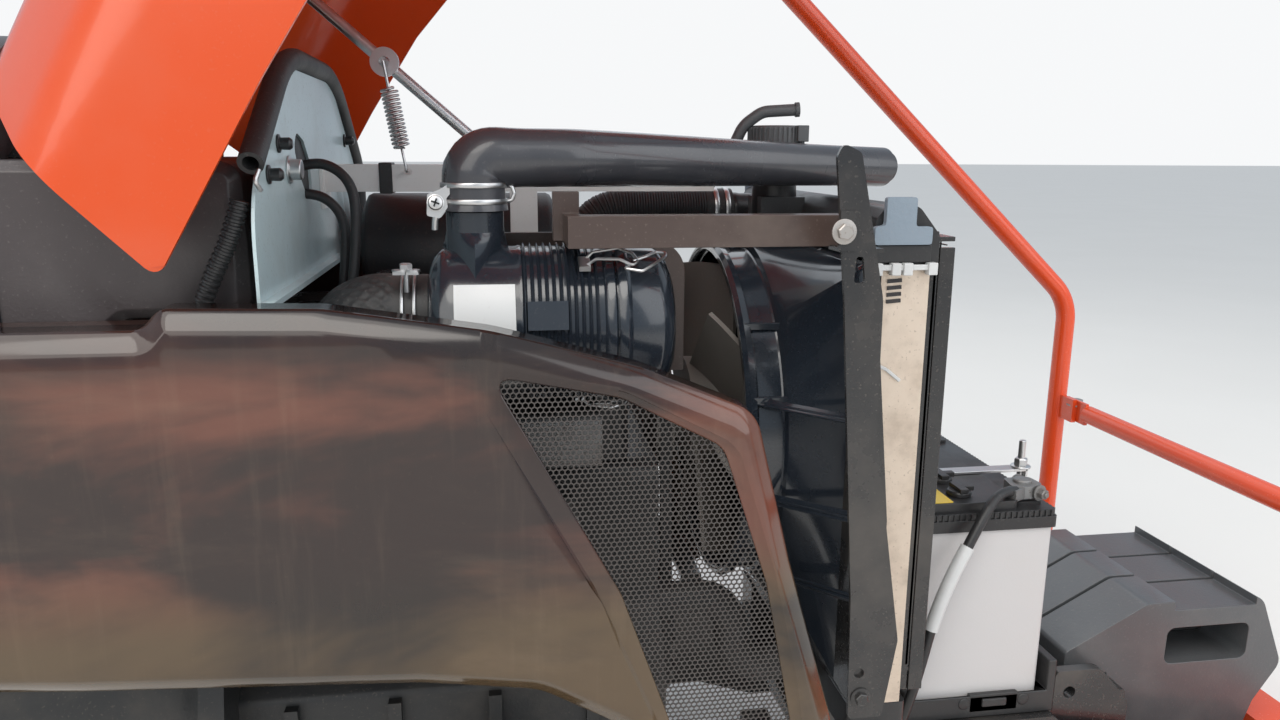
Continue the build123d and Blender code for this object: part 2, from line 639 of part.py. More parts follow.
def air_cleaner_cap():
    start, end = CLEANER_RING_END, CLEANER_RING_END + CLEANER_CAP_LENGTH
    profile = [
        (start, 0), (start, CLEANER_R - 4), (start + 3, CLEANER_R), (end - 12, CLEANER_R),
        (end - 3, CLEANER_R - 4),
        (end, CLEANER_R - 12), (end, 0)]
    return turned_x(profile, CLEANER_Y, CLEANER_Z)


def intake_pipe():
    neck = (NECK_CLEANER_X, CLEANER_Y, NECK_CLEANER_Z)
    corner = Vector(NECK_CLEANER_X, CLEANER_Y, INTAKE_Z)
    bend = Vector(500, CLEANER_Y + 12, INTAKE_Z)
    tip = Vector(INTAKE_TIP_X, 0, INTAKE_TIP_Z)
    along = (tip - bend).normalized()
    joint = bend + along * 40
    body = pipe([neck, tuple(corner), tuple(bend), tuple(joint)], [34, 60], INTAKE_R)
    start = Plane(origin=joint, z_dir=along)
    run = (tip - joint).length
    body += loft([start * Circle(INTAKE_R), start.offset(run) * Circle(INTAKE_TIP_R)])
    mouth = Plane(origin=tip - along * INTAKE_BORE_DEPTH, z_dir=along)
    body -= extrude(mouth * Circle(INTAKE_TIP_R - INTAKE_WALL), INTAKE_BORE_DEPTH)
    stub = (NECK_CLEANER_Z, NECK_CLEANER_Z + 18 + SEAT, NECK_STUB_R + SEAT)
    return body - rod_z(NECK_CLEANER_X, CLEANER_Y, *stub)


def outlet_hose():
    z = CLEANER_Z + 8
    corner, foot = (OUTLET_HOSE_X, CLEANER_Y, z), (OUTLET_HOSE_X, CLEANER_Y, MANIFOLD_TOP + SEAT)
    route = [(CLEANER_BACK - SEAT, CLEANER_Y, z), corner, foot]
    return pipe(route, [33], OUTLET_HOSE_R, OUTLET_HOSE_R - 3.7)


def support_bar():
    """The welded bracket that carries the air cleaner and the intake pipe, with its bar to the baffle."""
    bar = block((491, CORE_BACK - 32), (-200, -180), (378, 400))
    cross = block((491, 503), (-200, -70), (379, 399))
    side = [(430, HEAD_TOP), (597, HEAD_TOP), (597, 366), (540, 379), (430, 379)]
    plate = slab(side, -76, -70, [1, 1, 26, 20, 20])
    plate += block((430, BLOCK_FRONT), (-96, -70), (HEAD_TOP, HEAD_TOP + 5))
    post = block((484, 503), (-152, -140), (379, 414.4))
    cleaner = rod_x(400, 700, CLEANER_Y, CLEANER_Z, CLEANER_R + 4)
    return (bar + cross + plate + post) - cleaner


def stay_bar():
    start = BULKHEAD_X + BULKHEAD_THICK
    near, far = ROD_Y - CHANNEL_HALF, ROD_Y + CHANNEL_HALF
    channel = block((start, CHANNEL_FRONT), (near, far), (CHANNEL_BOTTOM, CHANNEL_TOP))
    channel -= block((start - 1, CHANNEL_FRONT + 1), (near + CHANNEL_WALL, far - CHANNEL_WALL),
                     (CHANNEL_BOTTOM + CHANNEL_WALL, CHANNEL_TOP + 1))
    channel -= rod_y(SPRING_X, near - 1, ROD_Y, SPRING_Z, 3.2)
    foot = block((456, 480), (near, ROD_Y), (ROCKER_TOP, CHANNEL_BOTTOM))
    end = block((start, start + 3), (ROD_Y - 18, ROD_Y + 18), (CHANNEL_BOTTOM - 14, CHANNEL_TOP))
    return channel + foot + end


def arch_points(half, low, top):
    """The bulkhead's arch, low at both sides."""
    shoulder = top - ARCH_DROP
    flat = half * ARCH_FLAT
    return [(-half, low), (half, low), (half, shoulder), (flat, top), (-flat, top), (-half, shoulder)]


def bulkhead():
    radii = [4, 4, ARCH_CORNER_R, ARCH_CROWN_R, ARCH_CROWN_R, ARCH_CORNER_R]
    arch = arch_points(BULKHEAD_HALF, BULKHEAD_BOTTOM, BULKHEAD_TOP)
    sheet = section(arch, BULKHEAD_X, BULKHEAD_X + BULKHEAD_THICK, radii)
    foot = block((TANK_FRONT + SEAT, BULKHEAD_X), (-160, 160), (BULKHEAD_BOTTOM, BULKHEAD_BOTTOM + 4))
    slot = Plane.YZ.offset(BULKHEAD_X - 1) * Pos(-60, 432) * Rot(0, 0, 96) * SlotOverall(66, 20)
    return sheet + foot - extrude(slot, BULKHEAD_THICK + 2)


def bulkhead_seal():
    half, top = BULKHEAD_HALF + SEAL_R + SEAL_GAP, BULKHEAD_TOP + SEAL_R + SEAL_GAP
    x = BULKHEAD_X + BULKHEAD_THICK / 2
    corners = arch_points(half, 0, top)[2:5]
    flat = half * ARCH_FLAT
    near = (x, -flat - (half - flat) * SEAL_NEAR_SHARE, top - ARCH_DROP * SEAL_NEAR_SHARE)
    route = [(x, half, SEAL_FAR_END)] + [(x, y, z) for y, z in corners] + [near]
    radii = [ARCH_CORNER_R + SEAL_R, ARCH_CROWN_R + SEAL_R, ARCH_CROWN_R + SEAL_R]
    return pipe(route, radii, SEAL_R, SEAL_R - 3)


def fuel_tank():
    profile = [
        (TANK_BACK, TANK_BOTTOM), (TANK_NECK_FRONT, TANK_BOTTOM), (TANK_NECK_FRONT, TANK_STEP_Z),
        (TANK_FRONT, TANK_STEP_Z), (TANK_FRONT, TANK_TOP), (TANK_BACK, TANK_TOP)]
    body = slab(profile, -TANK_HALF, TANK_HALF, [8, 16, 10, 14, 14, 8])
    sides = body.faces().sort_by(Axis.Y)
    return chamfer(sides[0].edges() + sides[-1].edges(), 7)


def dash_cowl():
    body = section(arch_points(COWL_HALF, COWL_BOTTOM, COWL_TOP), 0, COWL_FRONT, [6, 6, 70, 90, 90, 70])
    inner = arch_points(COWL_HALF - 5, COWL_BOTTOM + 5, COWL_TOP - 5)
    hollow = section(inner, -1, COWL_FRONT - 5, [4, 4, 66, 86, 86, 66])
    return body - hollow


def hinge_brackets():
    """A saddle over the tank that carries both hinge pins."""
    low = TANK_TOP + SEAT
    legs = []
    for side in (-1, 1):
        y = sorted((side * (HINGE_ARM_Y - HINGE_GAP - 6), side * (HINGE_ARM_Y - HINGE_GAP)))
        side_view = [(COWL_FRONT + SEAT, low), (190, low), (190, 472), (176, 493), (156, 493), (140, 470)]
        ear = slab(side_view, *y, [1, 4, 6, 8, 8, 8])
        ends = sorted((side * (HINGE_ARM_Y - HINGE_GAP - 6), side * (HINGE_ARM_Y + HINGE_ARM_THICK + 6)))
        pin = rod_y(HINGE_X, *ends, HINGE_Z, HINGE_PIN_R)
        legs += [ear, pin]
    tie = block((136, 190), (-HINGE_ARM_Y + HINGE_GAP, HINGE_ARM_Y - HINGE_GAP), (low, low + 6))
    shape = tie
    for leg in legs:
        shape += leg
    return shape


def side_cover():
    face = place(-COVER_INNER) * outline(COVER_OUTLINE, COVER_RADII)
    pan = extrude(face, COVER_OUTER - COVER_INNER)
    outer = pan.faces().sort_by(Axis.Y)[0]
    pan = chamfer(outer.edges(), COVER_CHAMFER)
    inner_face = place(-COVER_INNER) * offset(outline(COVER_OUTLINE, COVER_RADII), -COVER_WALL)
    hollow = extrude(inner_face, COVER_OUTER - COVER_INNER - COVER_WALL - COVER_CHAMFER)
    deep_face = place(-COVER_INNER) * offset(outline(COVER_OUTLINE, COVER_RADII), -COVER_WALL - COVER_CHAMFER)
    hollow += extrude(deep_face, COVER_OUTER - COVER_INNER - COVER_WALL)
    opening = slab(MESH_OUTLINE, -COVER_OUTER - 1, -COVER_INNER, MESH_RADII)
    return pan - hollow - opening


def side_mesh():
    panel = place(-COVER_OUTER + COVER_WALL) * offset(outline(MESH_OUTLINE, MESH_RADII), 6)
    return extrude(panel.moved(Location((0, MESH_THICK + SEAT, 0))), MESH_THICK)


def cover_brackets():
    """The arms that carry both side covers, from the block and from the frame rails."""
    reach = -COVER_OUTER + COVER_WALL + SEAT
    rail = -RAIL_Y - RAIL_THICK - SEAT
    x = (BLOCK_BACK + 26, BLOCK_BACK + 50)
    rear = block(x, (reach, -BLOCK_DECK_HALF - SEAT), (112, 118)) + block(x, (reach, reach + 3), (112, 150))
    x = (TIMING_FRONT + 68, TIMING_FRONT + 92)
    front = block(x, (reach, rail), (-34, -28)) + block(x, (reach, reach + 3), (-42, -28))
    front += block(x, (rail - 4, rail), (-120, -28))
    return mirrored(rear) + mirrored(front)


def bonnet_section(x, half, skirt, shoulder, crown, inset=0.0):
    """One station of the bonnet: straight sides, rounded shoulders and a flat crown."""
    h, s, c = half - inset, shoulder - inset / 2, crown - inset
    low, edge = skirt - inset, c - 14
    points = [(-h, low), (h, low), (h, s - 46), (h * 0.70, edge), (0, c), (-h * 0.70, edge), (-h, s - 46)]
    face = make_face(FilletPolyline(*points, radius=[2, 2, 60, 70, 300, 70, 60], close=True))
    return Plane.YZ.offset(x) * face


def opened(shape):
    """Turns what is drawn on the closed bonnet to where it stands propped open."""
    pin = Location((HINGE_X, 0, HINGE_Z))
    return shape.moved(pin * Location((0, 0, 0), (0, -BONNET_OPEN, 0)) * pin.inverse())


def bonnet_shell():
    outer = loft([bonnet_section(*row) for row in BONNET_STATIONS])
    inner_rows = [list(row) for row in BONNET_STATIONS]
    inner_rows[0][0] -= 1
    inner_rows[-1][0] -= BONNET_WALL
    inner = loft([bonnet_section(*row, inset=BONNET_WALL) for row in inner_rows])
    return outer, inner


# The closed bonnet's lower edge, one gap outside the side covers, and its raked rear edge
SKIRT_LINE = [
    (110, 354), (243, 357), (337, 355), (440, 339), (536, 313), (619, 279), (646, 166), (683, 48), (1010, 48),
]
REAR_LEAN = math.radians(76.4)


def bonnet():
    outer, inner = bonnet_shell()
    shell = outer - inner
    rear_top = 110 + (560 - 354) / math.tan(REAR_LEAN)
    keep = [(rear_top, 560), (110, 354)] + SKIRT_LINE[1:] + [(1010, 560)]
    shell = shell & slab(keep, -300, 300)
    grille = block((900, 1000), (-GRILLE_HALF, GRILLE_HALF), (GRILLE_BOTTOM, GRILLE_TOP))
    shell -= grille
    for side in (-1, 1):
        lamp = block((900, 1000), sorted((side * LAMP_INNER, side * LAMP_OUTER)), (LAMP_BOTTOM, LAMP_TOP))
        shell -= lamp
        y = sorted((side * HINGE_ARM_Y, side * (HINGE_ARM_Y + HINGE_ARM_THICK)))
        arm = [(154, 470), (176, 470), (240, 500), (260, 560), (150, 560)]
        arm = slab(arm, *y, [10, 10, 8, 1, 1]) & outer
        arm -= rod_y(HINGE_X, y[0] - 1, y[1] + 1, HINGE_Z, HINGE_PIN_R + PIN_CLEARANCE)
        shell += arm
    top_x, top_z = closed_point(ROD_TOP_X, ROD_TOP_Z)
    for y in (ROD_Y - 10, ROD_Y + 7):
        ear = [(top_x - 8, top_z - 8), (top_x + 8, top_z - 8), (top_x + 16, 560), (top_x - 16, 560)]
        shell += slab(ear, y, y + 3, [7, 7, 1, 1]) & outer
    shell += rod_y(top_x, ROD_Y - 8.5, ROD_Y + 8.5, top_z, 4)
    return opened(shell)


def closed_point(x, z):
    """Where a point of the open bonnet lies when it is closed."""
    angle = math.radians(BONNET_OPEN)
    dx, dz = x - HINGE_X, z - HINGE_Z
    back_x = dx * math.cos(angle) + dz * math.sin(angle)
    back_z = dz * math.cos(angle) - dx * math.sin(angle)
    return HINGE_X + back_x, HINGE_Z + back_z


def nose_space():
    """The room just inside the bonnet's skin."""
    rows = [list(row) for row in BONNET_STATIONS[-2:]]
    rows[-1][0] -= BONNET_WALL + 0.3
    return loft([bonnet_section(*row, inset=BONNET_WALL + 0.4) for row in rows])


def nose_grille():
    front = BONNET_NOSE_X - BONNET_WALL - 0.5
    out, low, high = GRILLE_HALF + 8, GRILLE_BOTTOM - 8, GRILLE_TOP + 8
    frame = block((front - 14, front), (-out, out), (low, high))
    frame -= block((front - 15, front + 1), (16 - out, out - 16), (low + 16, high - 16))
    bars = frame
    rows = 9
    pitch = (GRILLE_TOP - GRILLE_BOTTOM - 16) / rows
    for n in range(1, rows):
        z = GRILLE_BOTTOM + 8 + n * pitch
        bars += block((front - 12, front - 4), (-GRILLE_HALF, GRILLE_HALF), (z - 3, z + 3))
    for y in (-70, 0, 70):
        bars += block((front - 13, front - 8), (y - 4, y + 4), (GRILLE_BOTTOM, GRILLE_TOP))
    return opened(bars)


def headlamps():
    front = BONNET_NOSE_X - BONNET_WALL - 0.5
    lamps = []
    for side in (-1, 1):
        y = sorted((side * (LAMP_INNER - 6), side * (LAMP_OUTER + 4)))
        lens = block((front - 44, front), y, (LAMP_BOTTOM - 5, LAMP_TOP + 2))
        lens = fillet(lens.edges().filter_by(Axis.X), 5)
        lamps.append(opened(lens & nose_space()))
    return lamps


def rod_vector():
    return Vector(ROD_FOOT_X - ROD_TOP_X, 0, ROD_FOOT_Z - ROD_TOP_Z)


def rod_eye():
    along = rod_vector() * ROD_EYE_SHARE
    return ROD_TOP_X + along.X, ROD_TOP_Z + along.Z


def prop_rod():
    top = Vector(ROD_TOP_X, ROD_Y, ROD_TOP_Z)
    foot = Vector(ROD_FOOT_X, ROD_Y, ROD_FOOT_Z)
    direction = (foot - top).normalized()
    rod = pipe([tuple(top + direction * 6), tuple(foot)], [], ROD_R)
    rod += Pos(*foot) * Sphere(ROD_R)
    rod += rod_y(ROD_TOP_X, ROD_Y - 6.5, ROD_Y + 6.5, ROD_TOP_Z, 9)
    rod -= rod_y(ROD_TOP_X, ROD_Y - 12, ROD_Y + 12, ROD_TOP_Z, 4 + PIN_CLEARANCE)
    x, z = rod_eye()
    eye = rod_y(x, ROD_Y - 9, ROD_Y - 4, z, 12) - rod_y(x, ROD_Y - 12, ROD_Y, z, 4.5)
    return rod - rod_y(x, ROD_Y - 12, ROD_Y - 4, z, 12) + eye


def spring_line():
    """The spring's lower end, its direction and its length, from the bar's hole to the rod's eye."""
    x, z = rod_eye()
    low = Vector(SPRING_X, 0, SPRING_Z)
    high = Vector(x, 0, z)
    return low, (high - low).normalized(), (high - low).length


SPRING_Y = 0.0
COIL_START = 22.0
COIL_END = 66.0


def stay_spring():
    low, direction, _ = spring_line()
    start = low + Vector(0, SPRING_Y, 0)
    hook = pipe([tuple(start), tuple(start + direction * COIL_START)], [], SPRING_WIRE_R)
    pin = rod_y(SPRING_X, SPRING_Y - 1, ROD_Y - CHANNEL_HALF + CHANNEL_WALL + 2, SPRING_Z, SPRING_WIRE_R)
    bottom, top = start + direction * COIL_START, start + direction * COIL_END
    coil = pipe([tuple(bottom), tuple(top)], [], SPRING_R, SPRING_R - 2.2)
    end = pipe([tuple(bottom), tuple(bottom + direction * 2)], [], SPRING_R - 1)
    return hook + pin + coil + end


def spring_hook():
    low, direction, length = spring_line()
    start = low + Vector(0, SPRING_Y, 0)
    bottom, top = start + direction * (COIL_END + SEAT), start + direction * length
    wire = pipe([tuple(bottom), tuple(top)], [], SPRING_WIRE_R)
    x, z = rod_eye()
    return wire + rod_y(x, SPRING_Y - 1, ROD_Y - 9 - SEAT, z, SPRING_WIRE_R)


def battery_case():
    top = BATTERY_TOP - BATTERY_LID
    case = block((BATTERY_BACK, BATTERY_FRONT), (-BATTERY_HALF, BATTERY_HALF), (BATTERY_BOTTOM, top))
    return fillet(case.edges().filter_by(Axis.Z), 5)


def battery_lid():
    base = BATTERY_TOP - BATTERY_LID
    half = BATTERY_HALF + 1
    lid = block((BATTERY_BACK - 1, BATTERY_FRONT + 1), (-half, half), (base, BATTERY_TOP - 8))
    lid += block((BATTERY_BACK + 6, BATTERY_FRONT - 34), (5 - half, half - 5), (BATTERY_TOP - 8, BATTERY_TOP))
    for n in range(6):
        y = -92 + n * 36.8
        lid += rod_z(BATTERY_BACK + 48, y, BATTERY_TOP, BATTERY_TOP + 5, 10)
    for y in (-92, 92):
        lid += rod_z(BATTERY_FRONT - 20, y, BATTERY_TOP - 8, BATTERY_TOP + 12, 9)
    return lid


def battery_tray():
    back, front = BATTERY_BACK - 5, BATTERY_FRONT + 5
    half = BATTERY_HALF + 5
    low = BATTERY_BOTTOM - TRAY_THICK
    tray = block((back, front), (-half, half), (low, low + TRAY_LIP))
    tray -= block((back + 3, front - 3), (-half + 3, half - 3), (BATTERY_BOTTOM, low + TRAY_LIP + 1))
    guard = block((front, front + 8), (-half, -half + 70), (low, low + 52))
    tab = block((front, front + 12), (CLAMP_Y - 9, CLAMP_Y + 9), (low, low + 8))
    return tray + guard + tab


def battery_clamp():
    top = BATTERY_TOP + SEAT
    y = (CLAMP_Y - 6, CLAMP_Y + 6)
    strap = block((BATTERY_BACK - 8, BATTERY_FRONT + 16), y, (top + 6, top + 10))
    pad = block((BATTERY_BACK + 8, BATTERY_FRONT - 36), y, (top, top + 7))
    hook = block((BATTERY_BACK - 8, BATTERY_BACK - 4), y, (top - 34, top + 8))
    rod = rod_z(BATTERY_FRONT + 11, CLAMP_Y, BATTERY_BOTTOM - TRAY_THICK + 8 + SEAT, top + 30, 3.5)
    return strap + pad + hook + rod


def front_frame():
    side = [
        (RAIL_BACK, RAIL_TOP - 16), (RAIL_BACK + 88, RAIL_TOP), (RAIL_FRONT, RAIL_TOP),
        (RAIL_FRONT, RAIL_BOTTOM + 34), (RAIL_FRONT - 34, RAIL_BOTTOM), (CORE_BACK, RAIL_BOTTOM),
        (CORE_BACK - 60, RAIL_BOTTOM + 20), (RAIL_BACK, RAIL_BOTTOM + 20),
    ]
    rail = slab(side, -RAIL_Y - RAIL_THICK, -RAIL_Y, [2, 20, 8, 20, 40, 40, 20, 8])
    frame = rail + mirror(rail, Plane.XZ)
    frame += block((RAIL_BACK, RAIL_BACK + 14), (-RAIL_Y, RAIL_Y), (RAIL_BOTTOM + 20, RAIL_TOP - 16))
    for x in ((CORE_BACK - 20, CORE_BACK + 76), (RAIL_FRONT - 20, RAIL_FRONT)):
        frame += block(x, (-RAIL_Y, RAIL_Y), (RAIL_TOP - 14, RAIL_TOP))
    radiator_foot = CORE_BOTTOM - BOTTOM_TANK_HEIGHT - SEAT
    for y in (-110, 110):
        frame += block((CORE_BACK - 8, CORE_FRONT + 6), (y - 18, y + 18), (RAIL_TOP - 2, radiator_foot))
    ends = (AXLE_X - AXLE_BOSS_LENGTH / 2, AXLE_X + AXLE_BOSS_LENGTH / 2)
    boss = rod_x(*ends, 0, AXLE_Z, AXLE_BOSS_R)
    saddle = block((AXLE_X - 40, AXLE_X + 40), (-RAIL_Y, RAIL_Y), (-140, RAIL_TOP))
    cheeks = [(-AXLE_BOSS_R, AXLE_Z), (AXLE_BOSS_R, AXLE_Z), (70, -136), (-70, -136)]
    cheeks = section(cheeks, AXLE_X - 34, AXLE_X + 34)
    frame += saddle + boss + cheeks
    frame -= rod_x(*ends, 0, AXLE_Z, AXLE_BORE_R)
    front = block((RAIL_FRONT - 16, RAIL_FRONT), (-RAIL_Y, RAIL_Y), (RAIL_BOTTOM + 40, RAIL_TOP))
    return frame + front


def weight_bracket():
    back = RAIL_FRONT + SEAT
    bend, front = HOOK_X - 12, HOOK_X + 20
    plate = slab([(back, -26), (bend, -26), (front, -62), (front, -112), (bend, -136), (back, -136)],
                 -RAIL_Y, -RAIL_Y + 10, [6, 14, 12, 12, 14, 2])
    bracket = plate + mirror(plate, Plane.XZ) + block((back, back + 10), (-RAIL_Y, RAIL_Y), (-136, -72))
    bracket -= rod_y(RAIL_FRONT + 16, -RAIL_Y - 1, RAIL_Y + 1, -48, 6)
    low, high = HOOK_X - HOOK_HALF, HOOK_X + HOOK_HALF
    bar = slab([(low, -86), (high, -86), (high, -50), (low, -50)], -RAIL_Y, RAIL_Y, 3)
    return bracket + bar


def front_weights():
    tip, slot = WEIGHT_BACK + WEIGHT_LENGTH, HOOK_HALF + SEAT
    profile = [
        (WEIGHT_BACK, -25), (WEIGHT_BACK + 82, 20), (tip - 32, 20), (tip, -55), (tip - 25, -95),
        (tip - 50, -176), (HOOK_X + 44, -176), (HOOK_X + 26, -120), (HOOK_X + slot, -94),
        (HOOK_X + slot, -50 + SEAT),
        (HOOK_X - slot, -50 + SEAT), (HOOK_X - slot, -70), (WEIGHT_BACK, -70),
    ]
    radii = [6, 20, 18, 16, 20, 22, 24, 30, 2, 2, 2, 2, 4]
    weights = []
    for n in range(WEIGHT_COUNT):
        y = (n - (WEIGHT_COUNT - 1) / 2) * WEIGHT_PITCH
        body = slab(profile, y - WEIGHT_THICK / 2, y + WEIGHT_THICK / 2, radii)
        grip = [(tip - 131, -46), (tip - 42, -46), (tip - 42, -8), (tip - 131, -8)]
        body -= slab(grip, y - WEIGHT_THICK, y + WEIGHT_THICK, 8)
        body -= block((tip - 126, tip - 38), (y - WEIGHT_THICK, y + WEIGHT_THICK), (11, 30))
        weights.append(body)
    return weights


def front_beam():
    low, back, front = BEAM_TOP - BEAM_SIZE, BEAM_X - BEAM_SIZE / 2, BEAM_X + BEAM_SIZE / 2
    beam = block((back, front), (-BEAM_HALF, BEAM_HALF), (low, BEAM_TOP))
    beam -= block((back + 4, front - 4), (-BEAM_HALF - 1, BEAM_HALF + 1), (low + 4, BEAM_TOP - 4))
    arm = [
        (RAIL_FRONT - 130, -76), (RAIL_FRONT, -76), (back, BEAM_TOP), (back, low), (RAIL_FRONT + 56, low),
        (RAIL_FRONT - 130, -140),
    ]
    outer = -RAIL_Y - RAIL_THICK - SEAT
    arm = slab(arm, outer - 10, outer, [6, 20, 1, 1, 30, 6])
    return beam + arm + mirror(arm, Plane.XZ)


def roof_posts():
    route = [(BEAM_X, -POST_Y, BEAM_TOP), (BEAM_X, -POST_Y, POST_BEND_Z), (POST_TOP_X, -POST_Y, POST_TOP_Z)]
    post = pipe(route, [POST_BEND_R], POST_R, POST_R - POST_WALL)
    foot = block((BEAM_X - 24, BEAM_X + 24), (-POST_Y - 20, -POST_Y + 20), (BEAM_TOP, BEAM_TOP + 6))
    tab = block((BEAM_X - 3, BEAM_X + 3), (-POST_Y + 10, -POST_Y + 42), (CROSSBAR_Z - 16, CROSSBAR_Z + 16))
    hollow = rod_z(BEAM_X, -POST_Y, BEAM_TOP, POST_BEND_Z - POST_BEND_R, POST_R - POST_WALL)
    return mirrored(post + (foot - hollow) + (tab - hollow))


def post_crossbar():
    end = POST_Y - 16
    bar = rod_y(BEAM_X + 9, -end + 44, end - 44, CROSSBAR_Z, CROSSBAR_R)
    for side in (-1, 1):
        y = sorted((side * (end - 46), side * end))
        bar += block((BEAM_X + 3, BEAM_X + 8), y, (CROSSBAR_Z - 15, CROSSBAR_Z + 15))
    return bar


# The cords' routes, each from its fixed start
LOOM_DIAMETER = 12.0
CABLE_DIAMETER = 8.0
LEAD_DIAMETER = 9.0
ENGINE_LOOM = [
    (286.5, -218, 412), (281, -219, 392), (266, -219, 364), (252, -217, 330), (242, -214, 288),
    (238, -206, 246), (243, -188, 208), (251, -164, 180), (258, -138, 162), (258, -104.5, 162),
]
CABLE_UPPER = [
    (286.6, -62, 428), (303, -62, 434), (320, -64, 430), (332.2, -68, 417.4), (336, -74, 398),
    (334, -82, 358), (327, -87, 318), (321, -90, 290), (321, -90, 262.5),
]
CABLE_LOWER = [
    (284.6, -60, 410), (303, -60, 410), (317.3, -62, 401.8), (325.5, -65, 387.5), (325.5, -69, 365),
    (322, -74, 330), (313, -76, 300), (307, -76, 282), (307, -76, 262.5),
]
BATTERY_CABLE = [
    (896, -104, 148), (878, -112, 152), (858, -126, 142), (840, -134, 116), (822, -138, 84), (808, -140, 46),
    (800, -141, 8), (793, -139, -27), (789, -129, -63),
]


def pieces():
    """Every node's name and the function that makes it."""
    table = [
        (clutch_housing, "clutch_housing"), (engine_block, "engine_block"), (oil_pan, "oil_pan"),
        (cylinder_head, "cylinder_head"), (rocker_cover, "rocker_cover"),
        (intake_manifold, "intake_manifold"),
        (exhaust_manifold, "exhaust_manifold"), (muffler, "muffler"), (fan_belt, "fan_belt"),
        (crank_pulley, "crank_pulley"), (alternator, "alternator"), (oil_filter, "oil_filter"),
        (injection_pump, "injection_pump"), (fan, "fan"), (fan_shroud, "fan_shroud"),
        (radiator_core, "radiator_core"), (radiator_tank, "radiator_tank"),
        (radiator_baffles, "radiator_baffles"),
        (radiator_screen, "radiator_screen"), (upper_hose, "upper_hose"), (lower_hose, "lower_hose"),
        (air_cleaner, "air_cleaner"), (air_cleaner_cap, "air_cleaner_cap"), (intake_pipe, "intake_pipe"),
        (outlet_hose, "outlet_hose"), (support_bar, "support_bar"), (stay_bar, "stay_bar"),
        (bulkhead, "bulkhead"), (bulkhead_seal, "bulkhead_seal"), (fuel_tank, "fuel_tank"),
        (dash_cowl, "dash_cowl"), (hinge_brackets, "hinge_brackets"), (bonnet, "bonnet"),
        (nose_grille, "nose_grille"), (headlamps, "headlamps"), (prop_rod, "prop_rod"),
        (stay_spring, "stay_spring"), (spring_hook, "spring_hook"), (battery_case, "battery_case"),
        (battery_lid, "battery_lid"), (battery_tray, "battery_tray"), (battery_clamp, "battery_clamp"),
        (front_frame, "front_frame"), (weight_bracket, "weight_bracket"), (front_weights, "front_weights"),
        (front_beam, "front_beam"), (roof_posts, "roof_posts"), (post_crossbar, "post_crossbar"),
        (cover_brackets, "cover_brackets"),
    ]
    for make, name in table:
        yield name, make()
    cover, mesh = side_cover(), side_mesh()
    for side, shape in zip(("right", "left"), mirrored(cover)):
        yield "side_cover_" + side, shape
    for side, shape in zip(("right", "left"), mirrored(mesh)):
        yield "side_mesh_" + side, shape
    for name, route, diameter in (
        ("engine_loom", ENGINE_LOOM, LOOM_DIAMETER), ("cable_upper", CABLE_UPPER, CABLE_DIAMETER),
        ("cable_lower", CABLE_LOWER, CABLE_DIAMETER), ("battery_cable", BATTERY_CABLE, LEAD_DIAMETER),
    ):
        yield name, cord(name, route, diameter)


def main():
    os.makedirs("parts", exist_ok=True)
    for name, shape in pieces():
        solids = [s for item in (shape if isinstance(shape, list) else [shape]) for s in item.solids()]
        whole = solids[0] if len(solids) == 1 else Compound(children=solids)
        export_step(whole, "parts/" + name + ".step")


main()
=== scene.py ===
import bpy
import bmesh
import math
from mathutils import Matrix, Vector, geometry


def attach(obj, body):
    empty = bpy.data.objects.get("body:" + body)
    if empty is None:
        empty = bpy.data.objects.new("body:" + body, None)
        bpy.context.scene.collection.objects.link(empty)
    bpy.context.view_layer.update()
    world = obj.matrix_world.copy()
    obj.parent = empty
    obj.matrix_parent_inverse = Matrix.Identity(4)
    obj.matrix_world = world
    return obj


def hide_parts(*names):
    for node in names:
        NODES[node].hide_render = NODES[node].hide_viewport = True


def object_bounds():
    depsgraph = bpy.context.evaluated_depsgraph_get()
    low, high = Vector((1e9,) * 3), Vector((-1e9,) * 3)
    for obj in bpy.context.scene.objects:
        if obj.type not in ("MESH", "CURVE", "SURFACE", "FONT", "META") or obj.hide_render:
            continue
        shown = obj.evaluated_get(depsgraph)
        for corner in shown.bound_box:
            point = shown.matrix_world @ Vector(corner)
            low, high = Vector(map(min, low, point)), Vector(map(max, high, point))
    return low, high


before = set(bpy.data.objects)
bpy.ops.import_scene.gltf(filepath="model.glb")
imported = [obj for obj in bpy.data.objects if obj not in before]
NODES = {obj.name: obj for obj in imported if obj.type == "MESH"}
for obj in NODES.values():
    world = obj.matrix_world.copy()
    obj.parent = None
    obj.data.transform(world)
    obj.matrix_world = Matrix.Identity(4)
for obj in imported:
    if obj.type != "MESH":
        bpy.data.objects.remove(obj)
ROOT = "engine_bay"
cad_box = [list(corner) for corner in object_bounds()]
UP = Vector((0, 0, 1))


def add(name, data):
    """A new object in the scene."""
    made = bpy.data.objects.new(name, data)
    bpy.context.scene.collection.objects.link(made)
    return made


# Camera: the photograph's place and lens

CAMERA_AT = Vector((0.4431, -0.8356, 0.4426))
CAMERA_YAW = math.radians(8.73)
CAMERA_PITCH = math.radians(12.54)
CAMERA_ROLL = math.radians(-0.28)
CAMERA_LENS = 26.31
SENSOR_WIDTH = 36.0


